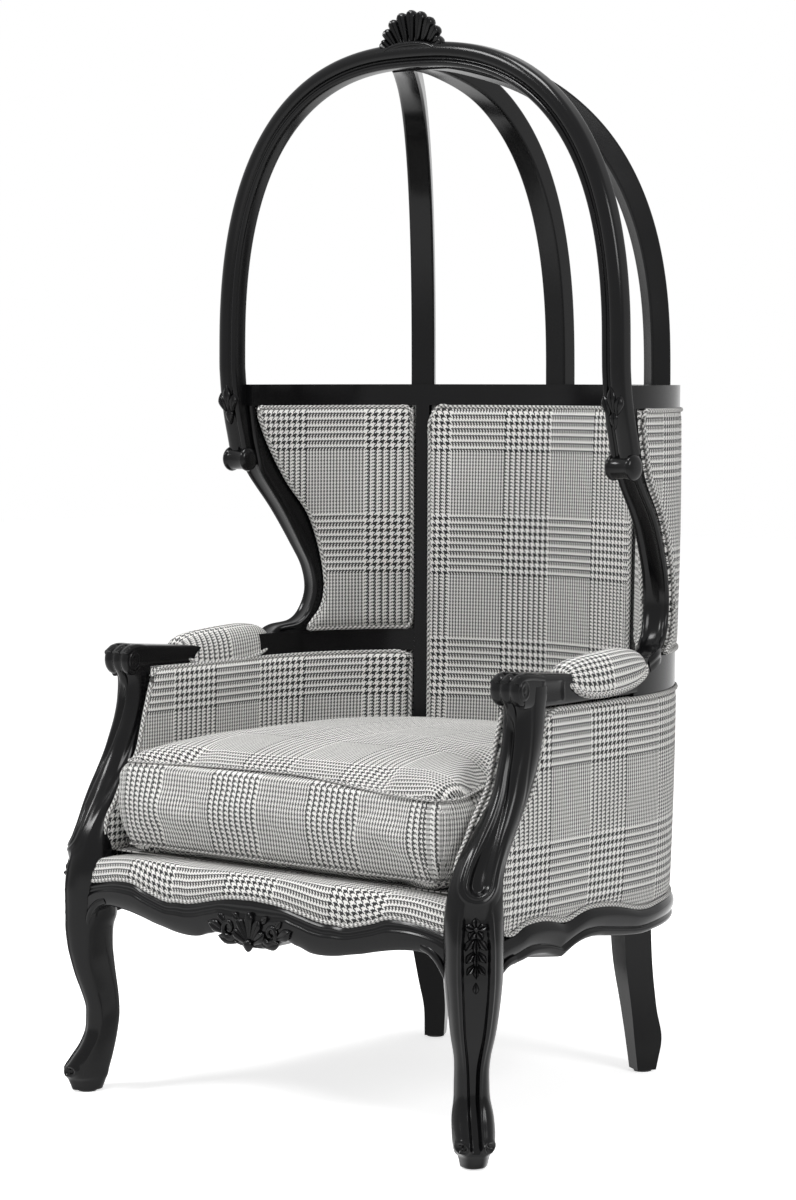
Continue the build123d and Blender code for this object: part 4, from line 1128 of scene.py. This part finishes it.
def moulded_arch():
    """Front arch in one sweep from foot to foot: torus, quirk and inner bead."""
    foot = [(ARCH_HALF, y, z) for y, z in ((359, 980), (354, 1000), (346, 1030), (339, 1065), (335.5, 1098))]
    over = []
    for i in range(41):
        angle = pi * i / 40
        rise = max(sin(angle), 0) ** (2 / SUPERELLIPSE)
        over.append((ARCH_HALF * signed(cos(angle), 2 / SUPERELLIPSE), 334.5, mix(SPRING_Z, CROWN_Z, rise)))
    line = foot + over + [(-x, y, z) for x, y, z in reversed(foot)]
    outline = [(-18.5, -12), (-18.5, 6), (-17.5, 10.5), (-14.5, 13), (-10.5, 12.6), (-8.2, 9.2), (-6.2, 8.0),
               (-4.6, 9.6), (-2, 13.2), (3, 15), (9, 14.6), (14.5, 12), (17.8, 7.5), (18.5, 2), (18.5, -10),
               (16.5, -13.5), (8, -14.5), (-8, -14.5), (-16, -14)]
    section = closed_profile(outline)

    def place(s, t):
        a, b = section(s, t)
        z = 1 - smooth(min(s, 1 - s) * 14)
        return a * (1 + 0.04 * z), b
    bm = tube_bm(Path(line), place, 420, 64, up=(0, -1, 0))
    close_ends(bm)
    piece = finish("moulded_arch", bm, LACQUER, sharp=1.4)
    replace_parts(piece, "arch_right", "arch_left", "arch_foot_right", "arch_foot_left")


def wing_posts():
    """S-shaped wing posts with a bead along each edge of their front face."""
    line = [side_point(side_reach(y + 7, z, 23), z, 23) for z, y in WING_EDGE[1:-1]]
    line = [(367, 410, 672), (367, 430, 682)] + line + [(367, 361, 1052)]
    outline = [(-7, -19), (-9.2, -17), (-9.6, -13.5), (-7.4, -10.6), (-6.2, -7), (-5.8, 0), (-6.2, 7),
               (-7.4, 10.6), (-9.6, 13.5), (-9.2, 17), (-7, 19), (-2, 19.6), (1, 18), (3.5, 18.4), (12, 18),
               (14, 13.5), (44, 12), (46, 10), (46, -14), (44, -17), (12, -18.5), (3.5, -18.6), (1, -18),
               (-2, -19.6)]

    def outward(spot):
        if spot.y < WING_TURN:
            return Vector((1, 0, 0))
        return Vector((spot.x - wing_circle(spot.z)[0], spot.y - WING_TURN, 0))

    for side in SIDES:
        bm = tube_bm(Path(line), closed_profile(outline), 130, 72, up=outward)
        close_ends(bm)
        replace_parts(finish("moulded_wing_post", bm, LACQUER, side), "wing_post_" + side)
        end = [(-24.5, 0), (-24.5, 9), (-23.5, 14), (-22, 17), (-20, 18.8), (-17.5, 19.8), (-15, 19.2),
               (-13.6, 17.2), (-12.4, 16.8)]
        profile = end + [(0, 16.8)] + [(-a, r) for a, r in reversed(end)]
        piece = finish("turned_wing_roll", turned(profile, (ARCH_HALF, 355, 963), 44), LACQUER, side)
        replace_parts(piece, "wing_roll_" + side)


moulded_rails()
moulded_arch()
wing_posts()

# Carved ornament


def leaf(spot, along, out, length, width, thick, belly=0.55, tip=0.9, vein=0.45, curl=0.0):
    """Carved petal from spot towards along, swelling towards out, with a hollow vein down its middle."""
    bm = bmesh.new()
    bmesh.ops.create_uvsphere(bm, u_segments=16, v_segments=12, radius=1)
    along, out = Vector(along).normalized(), Vector(out)
    out = (out - along * out.dot(along)).normalized()
    side = along.cross(out)
    for v in bm.verts:
        reach, ring = (v.co.z + 1) / 2, hypot(v.co.x, v.co.y) or 1
        across, proud = v.co.x / ring, v.co.y / ring
        if reach < belly:
            share = (reach / belly) ** 0.6
        else:
            share = max(1 - ((reach - belly) / (1 - belly)) ** 2, 0) ** tip
        dip = 1 - vein * exp(-(across / 0.3) ** 2) if proud > 0 else 1
        place = (Vector(spot) + along * reach * length + side * across * share * width / 2
                 + out * (proud * dip * share**0.7 * thick + curl * (reach * reach - 0.4 * hump(reach))))
        v.co = row(*place)
    bm.normal_update()
    if bm.calc_volume(signed=True) < 0:
        bmesh.ops.reverse_faces(bm, faces=bm.faces)
    return bm


def volute(centre, side, radius=13, turns=1.2, thick=4.2, thin=2.52):
    """Curled tendril in the plane of a front face, thinning towards its eye."""
    points = []
    for i in range(21):
        angle = radians(90 + side * 130) + side * 2 * pi * turns * i / 20
        r = radius * (1 - 0.86 * i / 20)
        points.append((centre[0] + r * cos(angle), centre[1], centre[2] + r * sin(angle)))
    return roll_bm(points, (thick, thick), (thin, thin), 50, 12, (0, -1, 0))


def knee_husks(side):
    """Flower on the knee with a string of husks hanging below it."""
    out, across, up = Vector((0.7071, -0.7071, 0.12)), Vector((0.7071, 0.7071, 0)), Vector((0, 0, 1))

    def face(z, shift=0.0, proud=0.0):
        (x, y), grow, half = upright_section(z, 0.25)
        rise = leg_relief(0, z, half) + proud
        return Vector((x + grow[0] * rise, y + grow[1] * rise, z)) + across * shift

    parts = []
    for i in range(5):
        angle = radians(90 + 72 * i)
        parts.append(leaf(face(337), across * cos(angle) + up * sin(angle), out, 17, 13, 6.5, vein=0.5))
    parts.append(leaf(face(333, 0, 2.5), up, out, 9, 9, 6, belly=0.5, vein=0))
    for z, length, width in ((327, 24, 13), (308, 22, 12), (290, 20, 11)):
        for turn in (-1, 1):
            lie = across * turn * 0.75 - up
            parts.append(leaf(face(z, turn), lie, out, length, width, 6.5, tip=1.2, curl=3))
        parts.append(leaf(face(z - 2, 0, 1.5), -up, out, length, width * 0.8, 7, tip=1.2))
    parts.append(leaf(face(264, 0, -0.5), -up, out, 17, 10, 5, tip=1.2))
    finish("carved_knee_husks", merged(parts), LACQUER, side)


def rail_cartouche():
    """Shell between two curled tendrils and leaves in the middle of the front rail."""
    out = (0, -1, 0.1)

    def face(x, z, proud=0.0):
        return (x, bow(x) - 4 - proud, z)

    parts = []
    for angle in (-62, -32, 0, 32, 62):
        a = radians(angle)
        length = 38 - abs(angle) * 0.12
        parts.append(leaf(face(0, 278), (sin(a), 0, cos(a)), out, length, 15, 8, 0.72, 0.6, 0.5, 2))
    parts.append(leaf(face(0, 270, 3), (0, 0, 1), out, 15, 15, 8, belly=0.5, tip=0.5, vein=0))
    for turn in (-1, 1):
        parts.append(volute(face(turn * 36, 294, 1), turn))
        for x, z, run, rise, length, width, thick, curl in (
                (20, 279, 1, 0.15, 34, 14, 6, 3), (44, 288, 1, 0.42, 30, 15, 7, 3),
                (42, 299, 0.7, 0.6, 17, 10, 5, 2), (16, 303, 0.8, 0.5, 18, 10, 5, 2)):
            lie = (turn * run, 0, rise)
            parts.append(leaf(face(turn * x, z), lie, out, length, width, thick, tip=1.2, curl=curl))
    whole = merged(parts)
    bmesh.ops.scale(whole, verts=whole.verts, vec=(1.12, 1, 1.27), space=Matrix.Translation(-row(0, -45, 290)))
    finish("carved_rail_cartouche", whole, LACQUER)


def crest_shell():
    """Fluted shell on the crown: nine petals fanned over a low rolled base."""
    parts = []
    for i in range(9):
        u = i / 4 - 1
        a = radians(80 * u)
        foot = (36 * u, 330, 1592 - 6 * u * u)
        way = (58 * sin(a) - foot[0], 0, 1591 + 55 * cos(a) - foot[2])
        parts.append(leaf(foot, way, (0, -1, 0), hypot(way[0], way[2]), 18.5, 11,
                          belly=0.8, tip=0.55, vein=0.42, curl=1.5))
    arc = [(50 * sin(radians(a)), 325, 1581 + 14 * cos(radians(a))) for a in range(-84, 85, 12)]
    parts.append(roll_bm(arc, (4.5, 5.5), (4.5, 5.5), 48, 14, (0, -1, 0)))
    for turn in (-1, 1):
        parts.append(leaf((turn * 30, 330, 1594), (turn, 0, -0.14), (0, -1, 0), 34, 12, 9, tip=1.2))
    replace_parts(finish("carved_crest_shell", merged(parts), LACQUER), "crest_shell")


def arch_leaves(side):
    """Small acanthus leaf where the arch springs from the wing post."""
    parts = []
    for shift, tilt, length, z in (
            (0, 0, 42, 1040), (-6, -0.3, 32, 1038), (6, 0.3, 32, 1038), (0, 0, 30, 1018)):
        y = curve([(980, 359), (1000, 354), (1030, 346), (1065, 339), (1098, 335)], z) - 14
        parts.append(leaf((374.5 + shift, y, z), (tilt, -0.2, 1), (0, -1, 0), length, 16, 7, tip=1.2, curl=-2))
    finish("carved_arch_leaves", merged(parts), LACQUER, side)


rail_cartouche()
crest_shell()
for side in SIDES:
    knee_husks(side)
    arch_leaves(side)

# Pieces that keep their plain shape: hidden ones by name, padded ones in the cloth, the rest lacquered
STUFFS = {"corner_blocks": BEECH, "arch_dowel": BEECH, "post_dowels": BEECH, "seat_webbing": JUTE,
          "dust_cover": COVER, "block_screws": STEEL, "foot_glides": NYLON,
          "seat_deck": CHECK, "seat_border": CHECK, "seat_cushion": CHECK}
for name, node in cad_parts.items():
    padded = "panel" in name or "pad" in name
    node.data.materials.clear()
    node.data.materials.append(STUFFS.get(name, CHECK if padded else LACQUER))

# Floor, light and camera

scene = bpy.context.scene
scene.view_settings.view_transform = "Standard"


def floor_and_light():
    """White sweep, white surroundings and three softboxes: from the front left, the right and above."""
    sheet = bmesh.new()
    bmesh.ops.create_grid(sheet, x_segments=1, y_segments=1, size=14)
    floor = placed("floor", sheet)
    made, node, shader = material("white_floor")
    feed(shader, {"Base Color": colour("#f4f4f4"), "Roughness": 0.9, "Specular IOR Level": 0.1})
    path = node("LightPath").outputs
    seen = node("Math", [path["Is Camera Ray"], path["Is Glossy Ray"]], operation="MAXIMUM")
    strength = node("Math", [seen, 0.7], operation="MULTIPLY")
    glow = node("Emission", {"Color": (1, 1, 1, 1), "Strength": strength})
    feed(made.node_tree.nodes["Material Output"], {"Surface": node("AddShader", [shader, glow])})
    floor.data.materials.append(made)

    world = bpy.data.worlds.new("studio")
    scene.world = world
    world.use_nodes = True
    world.node_tree.nodes.clear()
    node = partial(add, world.node_tree)
    path = node("LightPath").outputs
    seen = node("Background", {"Color": (1, 1, 1, 1), "Strength": 1.0})
    soft = node("Background", {"Color": (1, 1, 1, 1), "Strength": 0.34})
    shown = node("Math", [path["Is Camera Ray"], path["Is Glossy Ray"]], operation="MAXIMUM")
    shown = node("Math", [shown, path["Is Transmission Ray"]], operation="MAXIMUM")
    node("OutputWorld", [node("MixShader", [shown, soft, seen])])

    # place, aim, side and watts of each
    for name, spot, aim, size, power in (
            ("key_softbox", (-1.7, -2.9, 3.6), (0, 0, 0.7), 0.9, 84),
            ("fill_softbox", (3.7, -0.7, 2.6), (0, 0, 0.8), 1.2, 62),
            ("top_softbox", (0.2, -1.0, 4.3), (0, 0, 0.5), 1.2, 120)):
        lamp = bpy.data.lights.new(name, "AREA")
        lamp.size = size
        lamp.energy = power
        holder = bpy.data.objects.new(name, lamp)
        scene.collection.objects.link(holder)
        holder.location = spot
        holder.rotation_euler = (Vector(aim) - Vector(spot)).to_track_quat("-Z", "Y").to_euler()


floor_and_light()

lens = bpy.data.cameras.new("camera")
lens.lens, lens.sensor_width, lens.clip_end = 94.44, 36, 60
viewer = bpy.data.objects.new("camera", lens)
scene.collection.objects.link(viewer)
viewer.location = (3.00868, -3.40652 - CENTRE_Y * MM, 1.09828)
viewer.rotation_euler = (pi / 2 - 0.0716, 0, 0.6824)
scene.camera = viewer
